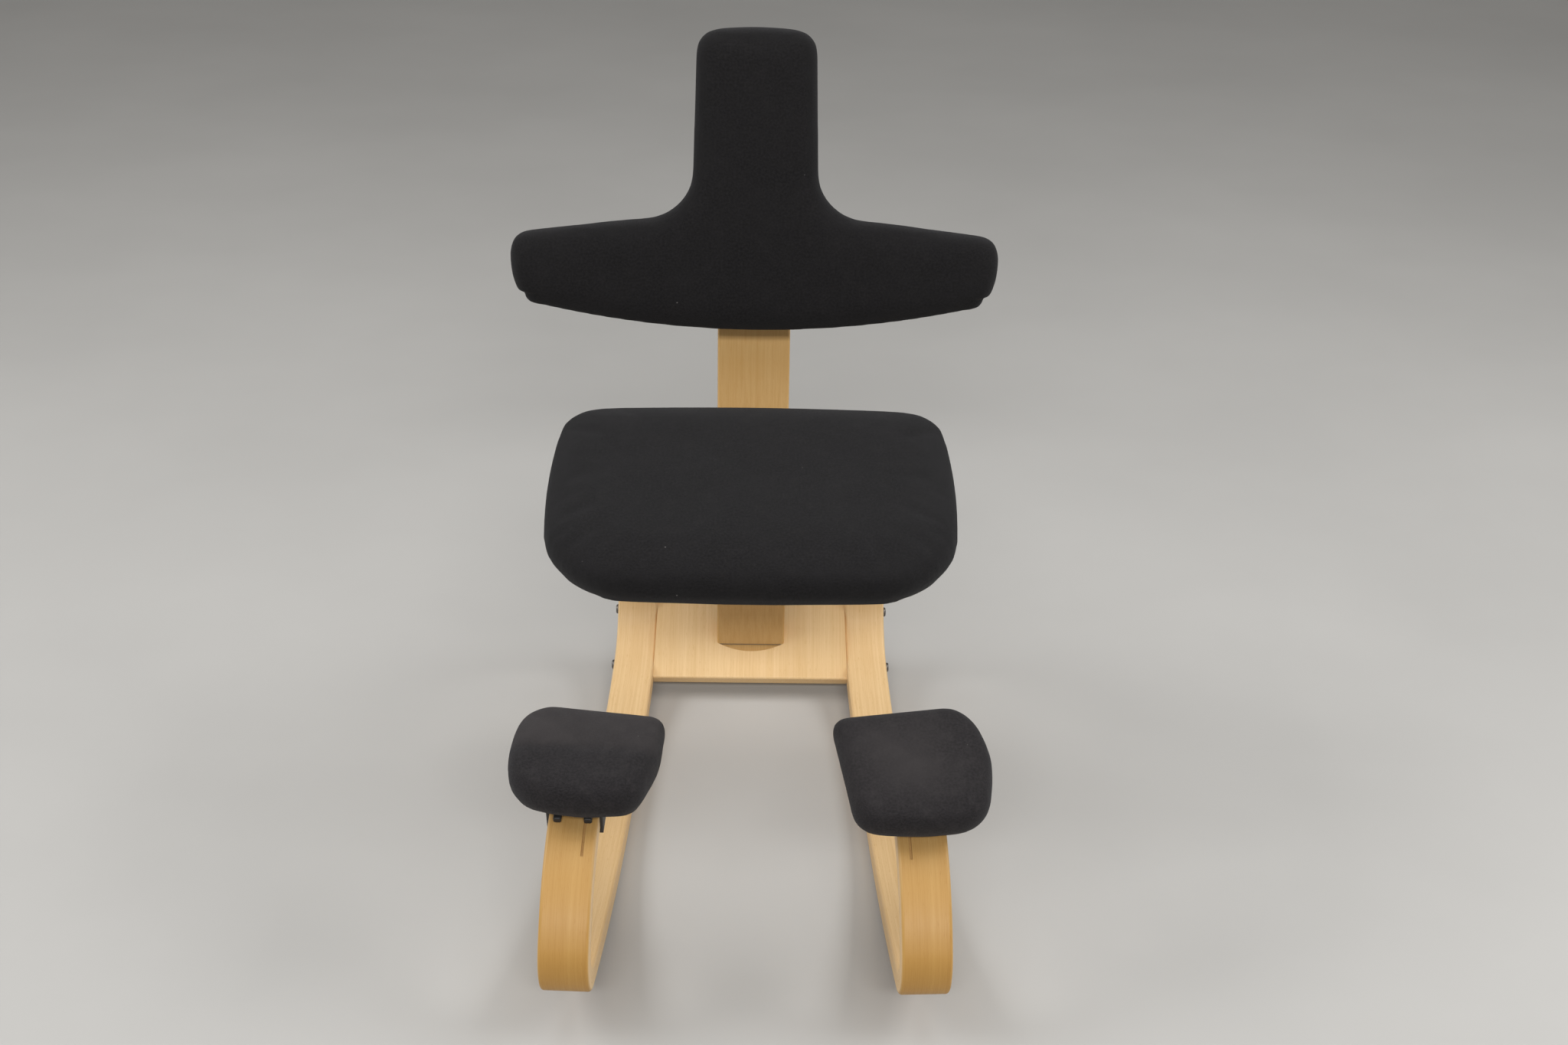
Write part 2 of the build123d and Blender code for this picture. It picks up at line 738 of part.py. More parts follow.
# Knee supports: a saddle slides along each arm like a sleeve, and a pad tilts on the saddle's pin
saddle_inner = arm_outer + saddle_clearance
saddle_top = saddle_inner + saddle_steel
sleeve_low = arm_inner - saddle_clearance
saddle_low = sleeve_low - saddle_steel
half_saddle = band_width / 2 + saddle_clearance + saddle_steel
knee_screw_tip = arm_inner - knob_gap
knee_knob_top = math.sqrt(saddle_low**2 - (knee_knob_diameter / 2) ** 2) - knob_gap
pin_radius = saddle_top + pin_height
barrel_half = lug_offset - lug_thickness / 2 - knob_gap
lug_top_radius = hinge_plate_rise - 1
knee_screw_length = hinge_plate_thickness + knee_board_thickness * 0.75
knee_screw_places = [
    (x, y) for x in (-hinge_plate_width * 0.38, hinge_plate_width * 0.38)
    for y in (-hinge_plate_length * 0.36, hinge_plate_length * 0.36)
]


def knee_outline(side, inset=0):
    """Plan of a knee pad, drawn in by an inset: slanted inner edge and rounded outer end."""
    skew = math.tan(math.radians(knee_rear_skew))
    slant_in = 2 * knee_half_length * math.tan(math.radians(knee_inner_slant))
    wide = knee_half_width - inset
    long = knee_half_length - inset
    outer = wide - knee_outer_bulge
    inner_rear = (-side * wide, long - wide * skew)
    outer_rear = (side * outer, long + outer * skew)
    outer_front = (side * outer, -long)
    inner_front = (side * (slant_in - wide), -long)
    with BuildLine() as plan:
        Polyline(inner_front, inner_rear, outer_rear)
        ThreePointArc(outer_rear, (side * wide, 0), outer_front)
        ThreePointArc(outer_front, (0, -long - knee_front_bulge), inner_front)
    make_face(plan.edges())
    corners = (
        (inner_rear, knee_inner_rear_radius),
        (outer_rear, knee_outer_radius),
        (outer_front, knee_outer_radius),
        (inner_front, knee_inner_front_radius),
    )
    for corner, radius in corners:
        fillet(vertices().sort_by_distance(corner)[0], radius - inset)


for side, hand, pad_tilt in ((-1, "left", knee_tilt_left), (1, "right", knee_tilt_right)):
    runner = side_plane(side)
    centre = runner.from_local_coords(arm_centre)
    sideways = runner.z_dir

    def away(angle):
        """Direction from the arm's centre at an angle forward of straight up."""
        out = radial(angle)
        return runner.x_dir * out.X + runner.y_dir * out.Y

    saddle_start = knee_position - saddle_span / 2
    section = Plane(origin=centre, x_dir=sideways, z_dir=sideways.cross(away(saddle_start)))
    rise = away(knee_position)
    cross_plane = Plane(origin=centre + rise * saddle_top, x_dir=rise.cross(sideways), z_dir=sideways)
    pin_centre = centre + rise * pin_radius
    screw_tip = Plane(origin=centre + rise * knee_screw_tip, x_dir=sideways, z_dir=-rise)
    knob_plane = Plane(origin=centre + rise * knee_knob_top, x_dir=sideways, z_dir=-rise)
    pad_plane = Plane(origin=pin_centre, x_dir=sideways, z_dir=away(knee_position + pad_tilt))
    plate_plane = pad_plane.offset(hinge_plate_rise)
    board_under = plate_plane.offset(hinge_plate_thickness)
    shift = -side * knee_inward

    with BuildPart() as saddle:
        with BuildSketch(section):
            with Locations((0, (saddle_top + saddle_low) / 2)):
                Rectangle(2 * half_saddle, saddle_top - saddle_low)
            with Locations((0, (saddle_inner + sleeve_low) / 2)):
                sleeve_width = 2 * (half_saddle - saddle_steel)
                Rectangle(sleeve_width, saddle_inner - sleeve_low, mode=Mode.SUBTRACT)
            with Locations((-side * groove_offset, saddle_inner)):
                fin_width = groove_width - 2 * saddle_clearance
                Rectangle(fin_width, groove_depth, align=(Align.CENTER, Align.MAX))
        revolve(axis=Axis(centre, sideways), revolution_arc=saddle_span)
        for place in (-lug_offset, lug_offset):
            with BuildSketch(cross_plane.offset(place - lug_thickness / 2)):
                with Locations((0, pin_height)):
                    Circle(lug_top_radius)
                with Locations((0, -saddle_steel / 2)):
                    Rectangle(lug_length, saddle_steel / 2)
                make_hull()
            extrude(amount=lug_thickness)
        with BuildSketch(Plane(origin=pin_centre, z_dir=sideways)):
            Circle(pin_diameter / 2)
        extrude(amount=half_saddle, both=True, mode=Mode.SUBTRACT)
        with BuildSketch(screw_tip):
            Circle(knee_bolt_diameter / 2 + fit)
        extrude(amount=2 * saddle_steel, mode=Mode.SUBTRACT)
    save(saddle, f"knee_saddle_{hand}")

    with BuildPart() as pin:
        pin_half = lug_offset + lug_thickness / 2
        pin_end = Plane(origin=pin_centre - sideways * pin_half, z_dir=sideways)
        with BuildSketch(pin_end):
            Circle(pin_diameter / 2)
        extrude(amount=2 * pin_half)
        with BuildSketch(pin_end):
            Circle(pin_head_diameter / 2)
        extrude(amount=-pin_head_height)
    save(pin, f"knee_pin_{hand}")

    with BuildPart() as clamp_screw:
        with BuildSketch(screw_tip):
            Circle(knee_bolt_diameter / 2)
        extrude(amount=knee_screw_tip - knee_knob_top + knee_knob_height)
    save(clamp_screw, f"knee_clamp_screw_{hand}")

    with BuildPart() as knob:
        star_knob(knob_plane, knee_knob_diameter, knee_knob_height, knee_bolt_diameter)
    save(knob, f"knee_knob_{hand}")

    with BuildPart() as hinge:
        barrel_start = Plane(
            origin=pin_centre - sideways * barrel_half, x_dir=pad_plane.y_dir, z_dir=sideways
        )
        with BuildSketch(barrel_start):
            Circle(hinge_barrel_diameter / 2)
            Rectangle(hinge_barrel_diameter * 0.7, hinge_plate_rise, align=(Align.CENTER, Align.MIN))
        extrude(amount=2 * barrel_half)
        with BuildSketch(plate_plane):
            RectangleRounded(hinge_plate_width, hinge_plate_length, band_arris)
        extrude(amount=hinge_plate_thickness)
        with BuildSketch(barrel_start):
            Circle(pin_diameter / 2 + running_fit)
        extrude(amount=2 * barrel_half, mode=Mode.SUBTRACT)
        drill(board_under, knee_screw_places, screw_diameter, hinge_plate_thickness)
    save(hinge, f"knee_hinge_{hand}")

    with BuildPart() as hinge_screws:
        drive_screws(-plate_plane, [(-x, y) for x, y in knee_screw_places], knee_screw_length)
    save(hinge_screws, f"knee_hinge_screws_{hand}")

    pad_middle = board_under.from_local_coords(Vector(shift, 0, 0))
    outline_plane = Plane(origin=pad_middle, x_dir=board_under.x_dir, z_dir=board_under.z_dir)
    with BuildPart() as knee_board:
        with BuildSketch(outline_plane):
            knee_outline(side, knee_board_margin)
        extrude(amount=knee_board_thickness)
        screw_depth = knee_screw_length - hinge_plate_thickness + fit
        drill(board_under.offset(screw_depth), knee_screw_places, screw_diameter, screw_depth)
    save(knee_board, f"knee_board_{hand}")

    with BuildPart() as knee_cushion:
        for level, share in cushion_levels:
            height = knee_board_thickness + level * knee_cushion_thickness
            with BuildSketch(outline_plane.offset(height)):
                knee_outline(side)
                scale(by=share)
        loft()
    save(knee_cushion, f"knee_cushion_{hand}")
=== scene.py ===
import json
import math

import bmesh
import bpy
import numpy as np
from mathutils import Matrix, Vector
from mathutils.bvhtree import BVHTree
from mathutils.interpolate import poly_3d_calc


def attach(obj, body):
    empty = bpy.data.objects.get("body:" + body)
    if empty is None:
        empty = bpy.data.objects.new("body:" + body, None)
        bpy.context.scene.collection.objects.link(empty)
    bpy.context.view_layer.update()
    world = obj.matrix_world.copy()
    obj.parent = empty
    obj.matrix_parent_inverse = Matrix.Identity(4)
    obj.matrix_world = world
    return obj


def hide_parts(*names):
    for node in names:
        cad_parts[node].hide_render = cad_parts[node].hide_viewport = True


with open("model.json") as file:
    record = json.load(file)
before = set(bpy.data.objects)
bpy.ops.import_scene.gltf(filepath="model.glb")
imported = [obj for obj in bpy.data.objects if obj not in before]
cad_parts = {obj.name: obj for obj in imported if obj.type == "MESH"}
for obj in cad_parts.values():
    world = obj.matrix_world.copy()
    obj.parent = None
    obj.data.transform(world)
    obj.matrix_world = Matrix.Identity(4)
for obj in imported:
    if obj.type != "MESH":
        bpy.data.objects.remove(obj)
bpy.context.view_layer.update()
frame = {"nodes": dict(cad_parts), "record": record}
nodes = frame["nodes"]
scene = bpy.context.scene
scene.view_settings.view_transform = "Standard"
hands = dict(left=-1, right=1)  # each hand's side along the first axis
print("frame loaded:", len(nodes), "nodes")

# camera: where the photo was taken from, looking a little down
photoView = dict(lens=50.98, sensor=36, pitch=26.05, yaw=0.785, roll=1.045, place=(0.0065, -2.3801, 1.5976))


def makeCamera(view):
    pitch, yaw, roll = (math.radians(view[key]) for key in ("pitch", "yaw", "roll"))
    levelRight = Vector((math.cos(yaw), -math.sin(yaw), 0))
    ahead = Vector((math.sin(yaw) * math.cos(pitch), math.cos(yaw) * math.cos(pitch), -math.sin(pitch)))
    levelUp = levelRight.cross(ahead)
    right = levelRight * math.cos(roll) + levelUp * math.sin(roll)
    up = levelUp * math.cos(roll) - levelRight * math.sin(roll)
    data = bpy.data.cameras.new("photoCamera")
    data.lens = view["lens"]
    data.sensor_width = view["sensor"]
    camera = bpy.data.objects.new("photoCamera", data)
    turn = Matrix((right, up, -ahead)).transposed().to_4x4()
    camera.matrix_world = Matrix.Translation(view["place"]) @ turn
    scene.collection.objects.link(camera)
    scene.camera = camera


makeCamera(photoView)
print("camera placed")

# light: a wide soft panel far in front, one overhead, one on each side, and an even room
lightRig = dict(
    room=0.24,
    roomColor=(1.0, 0.985, 0.96),
    panels=[
        dict(name="frontPanel", place=(0.2, -7.5, 5.2), aim=(0, 0.3, 0.1), size=(5.0, 1.0), power=420),
        dict(name="ceilingPanel", place=(0.0, -0.1, 3.1), aim=(0, 0, 0.3), size=(3.0, 2.2), power=24),
        dict(name="leftPanel", place=(-2.9, -0.2, 2.5), aim=(0, -0.1, 0.1), size=(2.2, 1.2), power=56),
        dict(name="rightPanel", place=(2.9, -0.2, 2.5), aim=(0, -0.1, 0.1), size=(2.2, 1.2), power=56),
    ],
)


def makeLights(rig):
    world = bpy.data.worlds.new("room")
    scene.world = world
    world.use_nodes = True
    background = world.node_tree.nodes["Background"]
    background.inputs["Color"].default_value = (*rig["roomColor"], 1)
    background.inputs["Strength"].default_value = rig["room"]
    for panel in rig["panels"]:
        data = bpy.data.lights.new(panel["name"], "AREA")
        data.shape = "RECTANGLE"
        data.size, data.size_y = panel["size"]
        data.energy = panel["power"]
        lamp = bpy.data.objects.new(panel["name"], data)
        lamp.location = panel["place"]
        lamp.rotation_mode = "QUATERNION"
        lamp.rotation_quaternion = (Vector(panel["aim"]) - Vector(panel["place"])).to_track_quat("-Z", "Y")
        scene.collection.objects.link(lamp)


makeLights(lightRig)
print("lights made:", len(lightRig["panels"]))


# material helpers
def newFinish(name):
    finish = bpy.data.materials.new(name)
    finish.use_nodes = True
    tree = finish.node_tree
    tree.nodes.clear()
    shader = tree.nodes.new("ShaderNodeBsdfPrincipled")
    output = tree.nodes.new("ShaderNodeOutputMaterial")
    tree.links.new(shader.outputs["BSDF"], output.inputs["Surface"])
    return finish, tree, shader


def addNode(tree, kind, inputs=None, **options):
    node = tree.nodes.new(kind)
    for key, value in options.items():
        setattr(node, key, value)
    for key, value in (inputs or {}).items():
        if isinstance(value, bpy.types.NodeSocket):
            tree.links.new(value, node.inputs[key])
        else:
            node.inputs[key].default_value = value
    return node


def stretched(tree, place, scale):
    return addNode(tree, "ShaderNodeMapping", {"Vector": place, "Scale": scale}).outputs["Vector"]


def noiseAt(tree, place, scale, detail=3.0, rough=0.55):
    values = {"Vector": stretched(tree, place, scale), "Scale": 1.0, "Detail": detail, "Roughness": rough}
    return addNode(tree, "ShaderNodeTexNoise", values).outputs["Fac"]


def ramped(tree, value, low, high, toLow=0.0, toHigh=1.0):
    values = {"Value": value, "From Min": low, "From Max": high, "To Min": toLow, "To Max": toHigh}
    return addNode(tree, "ShaderNodeMapRange", values).outputs["Result"]


def mathOf(tree, operation, first, second=0.5):
    return addNode(tree, "ShaderNodeMath", {0: first, 1: second}, operation=operation).outputs["Value"]


def between(tree, value, low, high):
    above = mathOf(tree, "GREATER_THAN", value, low)
    return mathOf(tree, "MULTIPLY", above, mathOf(tree, "LESS_THAN", value, high))


def splitAxes(tree, place):
    return addNode(tree, "ShaderNodeSeparateXYZ", {0: place}).outputs


def mixedColor(tree, share, first, second, blend="MIX"):
    node = addNode(tree, "ShaderNodeMix", data_type="RGBA", blend_type=blend)
    for index, value in ((0, share), (6, first), (7, second)):
        if isinstance(value, bpy.types.NodeSocket):
            tree.links.new(value, node.inputs[index])
        else:
            node.inputs[index].default_value = value if index == 0 else (*value, 1)
    return node.outputs[2]


def bumpFrom(tree, height, strength, depth):
    values = {"Height": height, "Strength": strength, "Distance": depth}
    return addNode(tree, "ShaderNodeBump", values).outputs["Normal"]


def setSockets(shader, values):
    for name, value in values.items():
        shader.inputs[name].default_value = value


# wood: lacquered pale laminate, with the grain along the first axis and the plies across the second
beech = dict(
    pale=(0.820, 0.592, 0.325),
    mid=(0.748, 0.515, 0.258),
    deep=(0.540, 0.295, 0.082),
    # shade: the tint for the darker outer veneer, and for the painted shade on the nose and in the pocket
    shade=(0.58, 0.45, 0.21),
    rough=(0.41, 0.54),
    relief=(0.18, 0.0004),
    lacquer={"Coat Weight": 0.03, "Coat Roughness": 0.25, "Specular IOR Level": 0.32},
)
# the guide groove's wood is darker: painted shade inside the slit
shadedGrooveBeech = dict(beech, pale=(0.54, 0.32, 0.120), mid=(0.46, 0.26, 0.090), deep=(0.34, 0.18, 0.058))
# the stem's wood is a darker copy of the beech: painted shade for the shadow of the backrest and seat on it
shadedStemBeech = dict(beech, pale=(0.630, 0.405, 0.171), mid=(0.567, 0.342, 0.123))

# noise layers: the streaks lie between the mid and pale colours, the others bring in a share of the deep one
streaks = dict(scale=(1.6, 330, 330), detail=4, rough=0.55, span=(0.30, 0.70))
fibre = dict(scale=(16, 1900, 1900), detail=3, rough=0.6, span=(0.48, 0.72), share=0.34)
grainLayers = [
    dict(scale=(2.6, 14, 14), detail=2, rough=0.55, span=(0.42, 0.80), share=0.18),  # clouds
    fibre,
    dict(scale=(95, 1250, 1250), detail=1, rough=0.4, span=(0.64, 0.78), share=0.42),  # flecks
    dict(scale=(0.25, 460, 1.5), detail=1, rough=0.55, span=(0.50, 0.66), share=0.16),  # plies
]
# outer veneer: a darker amber face, deepening from the arm under the pad towards the nose as painted shade
outerVeneerAndNoseShade = dict(depth=(0.0095, 0.0125), along=(0.10, 0.24), shares=(0.76, 1.0))
# the routed pocket's floor is painted darker: painted shade in the recess
pocketPaintedShade = dict(along=(0.303, 0.375), level=(-0.1805, -0.1785), share=0.75)


def bandPlace(tree):
    return addNode(tree, "ShaderNodeAttribute", attribute_name="bandPlace").outputs["Vector"]


def boardPlace(order, turn=(0, 0, 0)):
    def place(tree):
        spot = addNode(tree, "ShaderNodeTexCoord").outputs["Object"]
        turned = addNode(tree, "ShaderNodeMapping", {"Vector": spot, "Rotation": turn}).outputs["Vector"]
        parts = splitAxes(tree, turned)
        values = {slot: parts[axis] for slot, axis in enumerate(order)}
        return addNode(tree, "ShaderNodeCombineXYZ", values).outputs[0]
    return place


# darker wood: the outer veneer of each band, its tint deepening along the arm towards the nose as painted
# shade; and painted shade in the routed pocket in the crossboard
def bandShade(tree, place):
    parts = splitAxes(tree, place)
    outer = ramped(tree, parts[1], *outerVeneerAndNoseShade["depth"])
    share = ramped(tree, parts[0], *outerVeneerAndNoseShade["along"], *outerVeneerAndNoseShade["shares"])
    return mathOf(tree, "MULTIPLY", outer, share)


# painted shade on the floor of the routed pocket in front of the stem's foot
def pocketShade(tree, place):
    parts = splitAxes(tree, place)
    along = between(tree, parts[0], *pocketPaintedShade["along"])
    level = between(tree, parts[1], *pocketPaintedShade["level"])
    return mathOf(tree, "MULTIPLY", mathOf(tree, "MULTIPLY", along, level), pocketPaintedShade["share"])


def layerNoise(tree, place, layer):
    return noiseAt(tree, place, layer["scale"], layer["detail"], layer["rough"])


def woodFinish(name, placeOf, wood, shade=None):
    finish, tree, shader = newFinish(name)
    place = placeOf(tree)
    streak = ramped(tree, layerNoise(tree, place, streaks), *streaks["span"])
    color = mixedColor(tree, streak, wood["mid"], wood["pale"])
    fine = layerNoise(tree, place, fibre)
    for layer in grainLayers:
        noise = fine if layer is fibre else layerNoise(tree, place, layer)
        share = ramped(tree, noise, *layer["span"], 0, layer["share"])
        color = mixedColor(tree, share, color, wood["deep"])
    # the tint brings in the darker outer veneer, and painted shade on the nose and in the pocket
    if shade:
        color = mixedColor(tree, shade(tree, place), color, wood["shade"], "MULTIPLY")
    tree.links.new(color, shader.inputs["Base Color"])
    tree.links.new(ramped(tree, fine, 0.3, 0.7, *wood["rough"]), shader.inputs["Roughness"])
    tree.links.new(bumpFrom(tree, fine, *wood["relief"]), shader.inputs["Normal"])
    setSockets(shader, wood["lacquer"])
    return finish


# cover cloth: black wool-like weave, read from the piece's own cloth place in metres
blackWool = dict(
    dark=(0.0039, 0.0036, 0.0038),
    light=(0.0119, 0.0110, 0.0117),
    rubbed=(0.044, 0.039, 0.039),
    lint=(0.20, 0.19, 0.18),
    thread=0.0011, waver=5.0, dust=0.06, sheen=0.04,
    relief=(0.55, 0.0005), weaveHeight=0.6,
    specks=48.0, speckFrom=0.80,
    surface={"Roughness": 0.92, "Specular IOR Level": 0.25, "Sheen Roughness": 0.45,
             "Sheen Tint": (0.8, 0.8, 0.85, 1)},
)
# the knee pads' cloth is a paler copy: dust, and painted light for pads that stand out of the shade
dustyAndLitWool = dict(blackWool, dark=(0.0083, 0.0074, 0.0079), light=(0.0239, 0.0212, 0.0225), sheen=0.06,
                dust=0.32)

# scale per metre, detail and roughness of each noise in the cloth
clothNoise = dict(waver=(160, 2, 0.55), fuzz=(1500, 3, 0.65), melange=(330, 3, 0.6), cloud=(14, 3, 0.55),
                  dust=(55, 4, 0.62))


def clothLayer(tree, place, name):
    scale, detail, rough = clothNoise[name]
    return noiseAt(tree, place, (scale, scale, scale), detail, rough)


def threadWeave(tree, place, wool):
    parts = splitAxes(tree, place)
    waver = mathOf(tree, "MULTIPLY", clothLayer(tree, place, "waver"), wool["waver"])
    waves = []
    for axis in (0, 1):
        along = mathOf(tree, "MULTIPLY", parts[axis], 2 * math.pi / wool["thread"])
        waves.append(mathOf(tree, "SINE", mathOf(tree, "ADD", along, waver)))
    return ramped(tree, mathOf(tree, "MULTIPLY", waves[0], waves[1]), -1, 1)


def lintSpecks(tree, place, wool):
    values = {"Vector": place, "Scale": wool["specks"], "Randomness": 1.0}
    specks = addNode(tree, "ShaderNodeTexVoronoi", values)
    sparse = mathOf(tree, "GREATER_THAN", specks.outputs["Color"], wool["speckFrom"])
    return mathOf(tree, "MULTIPLY", ramped(tree, specks.outputs["Distance"], 0.018, 0.045, 0.8, 0), sparse)


def woolFinish(name, wool):
    finish, tree, shader = newFinish(name)
    place = addNode(tree, "ShaderNodeAttribute", attribute_name="clothPlace").outputs["Vector"]
    # the wear attribute holds rubbing, and on the left knee pad painted light as well
    wear = addNode(tree, "ShaderNodeAttribute", attribute_name="clothWearAndLight").outputs["Fac"]
    weave = threadWeave(tree, place, wool)
    fuzz = clothLayer(tree, place, "fuzz")
    melange = clothLayer(tree, place, "melange")
    cloud = clothLayer(tree, place, "cloud")
    dust = clothLayer(tree, place, "dust")
    color = mixedColor(tree, ramped(tree, melange, 0.34, 0.70), wool["dark"], wool["light"])
    color = mixedColor(tree, ramped(tree, cloud, 0.35, 0.75, 0, 0.45), color, wool["light"])
    color = mixedColor(tree, ramped(tree, weave, 0.0, 0.45, 0.45, 0), color, wool["dark"])
    rubbed = mathOf(tree, "MULTIPLY", wear, ramped(tree, cloud, 0.30, 0.70, 0.55, 1.0))
    color = mixedColor(tree, rubbed, color, wool["rubbed"])
    color = mixedColor(tree, ramped(tree, dust, 0.50, 0.78, 0, wool["dust"]), color, wool["rubbed"])
    color = mixedColor(tree, lintSpecks(tree, place, wool), color, wool["lint"])
    tree.links.new(color, shader.inputs["Base Color"])
    height = mathOf(tree, "ADD", mathOf(tree, "MULTIPLY", weave, wool["weaveHeight"]), fuzz)
    tree.links.new(bumpFrom(tree, height, *wool["relief"]), shader.inputs["Normal"])
    setSockets(shader, {**wool["surface"], "Sheen Weight": wool["sheen"]})
    return finish


# metal and plastic
metalLook = dict(mottle=90, span=(0.3, 0.7), darkest=0.62, smoother=0.06, rougher=0.1, relief=(0.25, 0.0002))


def metalFinish(name, color, rough, metallic, grain):
    look = metalLook
    finish, tree, shader = newFinish(name)
    place = addNode(tree, "ShaderNodeTexCoord").outputs["Object"]
    mottle = noiseAt(tree, place, (look["mottle"],) * 3, 3)
    pits = noiseAt(tree, place, (grain, grain, grain), 2)
    darker = tuple(channel * look["darkest"] for channel in color)
    tone = mixedColor(tree, ramped(tree, mottle, *look["span"]), darker, color)
    dullness = ramped(tree, mottle, *look["span"], rough - look["smoother"], rough + look["rougher"])
    tree.links.new(tone, shader.inputs["Base Color"])
    tree.links.new(dullness, shader.inputs["Roughness"])
    tree.links.new(bumpFrom(tree, pits, *look["relief"]), shader.inputs["Normal"])
    setSockets(shader, {"Metallic": metallic})
    return finish


seatTurn = math.radians(8)  # slope of the seat
boardTurn = math.radians(40)  # slope of the crossboard
finishes = dict(
    band=woodFinish("bandBeech", bandPlace, beech, bandShade),
    stem=woodFinish("shadedStemBeech", boardPlace((2, 1, 0)), shadedStemBeech),
    board=woodFinish("crossboardBeech", boardPlace((1, 2, 0), (-boardTurn, 0, 0)), beech, pocketShade),
    groove=woodFinish("shadedGrooveBeech", boardPlace((1, 2, 0)), shadedGrooveBeech),
    rail=woodFinish("railBeech", boardPlace((0, 2, 1), (-seatTurn, 0, 0)), beech),
    wool=woolFinish("blackWool", blackWool),
    dustyAndLitWool=woolFinish("dustyAndLitBlackWool", dustyAndLitWool),
    black=metalFinish("blackPowderCoat", (0.022, 0.022, 0.023), rough=0.5, metallic=0.0, grain=2400),
    bracketSteel=metalFinish("bracketSteel", (0.42, 0.44, 0.47), rough=0.45, metallic=0.7, grain=1800),
    zinc=metalFinish("zincPlate", (0.62, 0.62, 0.60), rough=0.34, metallic=1.0, grain=900),
    boltSteel=metalFinish("darkBoltSteel", (0.20, 0.185, 0.17), rough=0.38, metallic=1.0, grain=900),
    plastic=metalFinish("blackKnobPlastic", (0.018, 0.018, 0.019), rough=0.55, metallic=0.0, grain=3200),
)
print("finishes made:", len(finishes))


# the solids that are shown as they are; every other one is replaced below
shownSolids = {
    "stem": ["stem"],
    "board": ["crossboard"],
    "zinc": ["backrest_clamp_bolt", "backrest_washer", "crossboard_barrel_nuts"],
}
shownSolids["zinc"] += [f"knee_{part}_{hand}" for part in ("pin", "clamp_screw") for hand in hands]


def clad(mesh, finish):
    mesh.materials.clear()
    mesh.materials.append(finishes[finish])


for finish, names in shownSolids.items():
    for name in names:
        clad(nodes[name].data, finish)
print("solids dressed:", sum(len(names) for names in shownSolids.values()))


# mesh helpers
def place(name, mesh):
    piece = bpy.data.objects.new(name, mesh)
    scene.collection.objects.link(piece)
    return piece


def evaluatedMesh(piece):
    bpy.context.view_layer.update()
    graph = bpy.context.evaluated_depsgraph_get()
    return bpy.data.meshes.new_from_object(piece.evaluated_get(graph), depsgraph=graph)


def bakeModifiers(piece):
    mesh = evaluatedMesh(piece)
    piece.modifiers.clear()
    piece.data = mesh


def discard(piece):
    data = piece.data
    shelf = bpy.data.curves if piece.type == "CURVE" else bpy.data.meshes
    bpy.data.objects.remove(piece)
    shelf.remove(data)


def combine(piece, other, operation, materials="INDEX"):
    modifier = piece.modifiers.new("combine", "BOOLEAN")
    modifier.operation = operation
    modifier.solver = "EXACT"
    modifier.material_mode = materials
    modifier.object = other
    bakeModifiers(piece)
    discard(other)


def easeEdges(piece, width, segments, angle):
    bevel = piece.modifiers.new("ease", "BEVEL")
    bevel.width = width
    bevel.segments = segments
    bevel.limit_method = "ANGLE"
    bevel.angle_limit = math.radians(angle)
    bakeModifiers(piece)


def smooth(piece, angle=35):
    piece.data.shade_smooth()
    piece.data.set_sharp_from_angle(angle=math.radians(angle))
    weighted = piece.modifiers.new("faces", "WEIGHTED_NORMAL")
    weighted.keep_sharp = True
    weighted.weight = 100
    bakeModifiers(piece)


def mergedMesh(name):
    made = bmesh.new()
    made.from_mesh(nodes[name].data)
    bmesh.ops.remove_doubles(made, verts=made.verts[:], dist=1e-5)
    return made


def meshFrom(name, made):
    mesh = bpy.data.meshes.new(name)
    made.to_mesh(mesh)
    made.free()
    return mesh


# runners: one bent band on each side, swept along its middle line
bentBand = dict(
    width=0.056, thickness=0.027, arris=0.004, gap=0.301, toeOut=2.6,
    rest=0.120, frontRocker=(1.790, 13), nose=(0.040, 102.8), arm=(0.172, 75),
    rearRocker=(0.838, 14), rearBend=0.100, legSlope=35, leg=0.274,
    topBend=0.110, seatTilt=8, seatRun=0.112, planed=0.0004, step=0.004,
)
guideGroove = dict(width=0.003, depth=0.0025, offset=0.014, turn=56, middle=4, steps=60)
toe = math.radians(bentBand["toeOut"])


def sweepOf(radius, turn):
    return radius * math.sin(math.radians(turn))


def restMiddle(band):
    noseRadius = band["nose"][0]
    front = sweepOf(band["frontRocker"][0] - noseRadius, band["frontRocker"][1]) + noseRadius
    rear = sweepOf(band["rearRocker"][0] - band["rearBend"], band["rearRocker"][1]) + band["rearBend"]
    return (front - rear) / 2


# a walk of straight and round stretches from a point, as (length, 0) or (radius, turn in degrees)
def walked(start, heading, stretches, step):
    points = [start]
    for size, turn in stretches:
        length = size if turn == 0 else size * math.radians(abs(turn))
        count = max(2, round(length / step))
        for index in range(count):
            middle = heading + math.radians(turn) * (index + 0.5) / count
            chord = length / count if turn == 0 else 2 * size * math.sin(math.radians(abs(turn)) / count / 2)
            points.append(points[-1] + Vector((math.cos(middle), math.sin(middle))) * chord)
        heading += math.radians(turn)
    return points


def bandLine(band):
    middle = Vector((restMiddle(band), band["thickness"] / 2))
    half = band["rest"] / 2
    forward = [(half, 0)]
    forward += [(radius, -turn) for radius, turn in (band["frontRocker"], band["nose"], band["arm"])]
    bendTurn = 180 - band["legSlope"] - band["rearRocker"][1]
    rearward = [(half, 0), band["rearRocker"], (band["rearBend"], bendTurn), (band["leg"], 0),
                (band["topBend"], band["legSlope"] + band["seatTilt"]), (band["seatRun"], 0)]
    front = walked(middle, math.pi, forward, band["step"])
    rear = walked(middle, 0, rearward, band["step"])
    return front[::-1] + rear[1:]


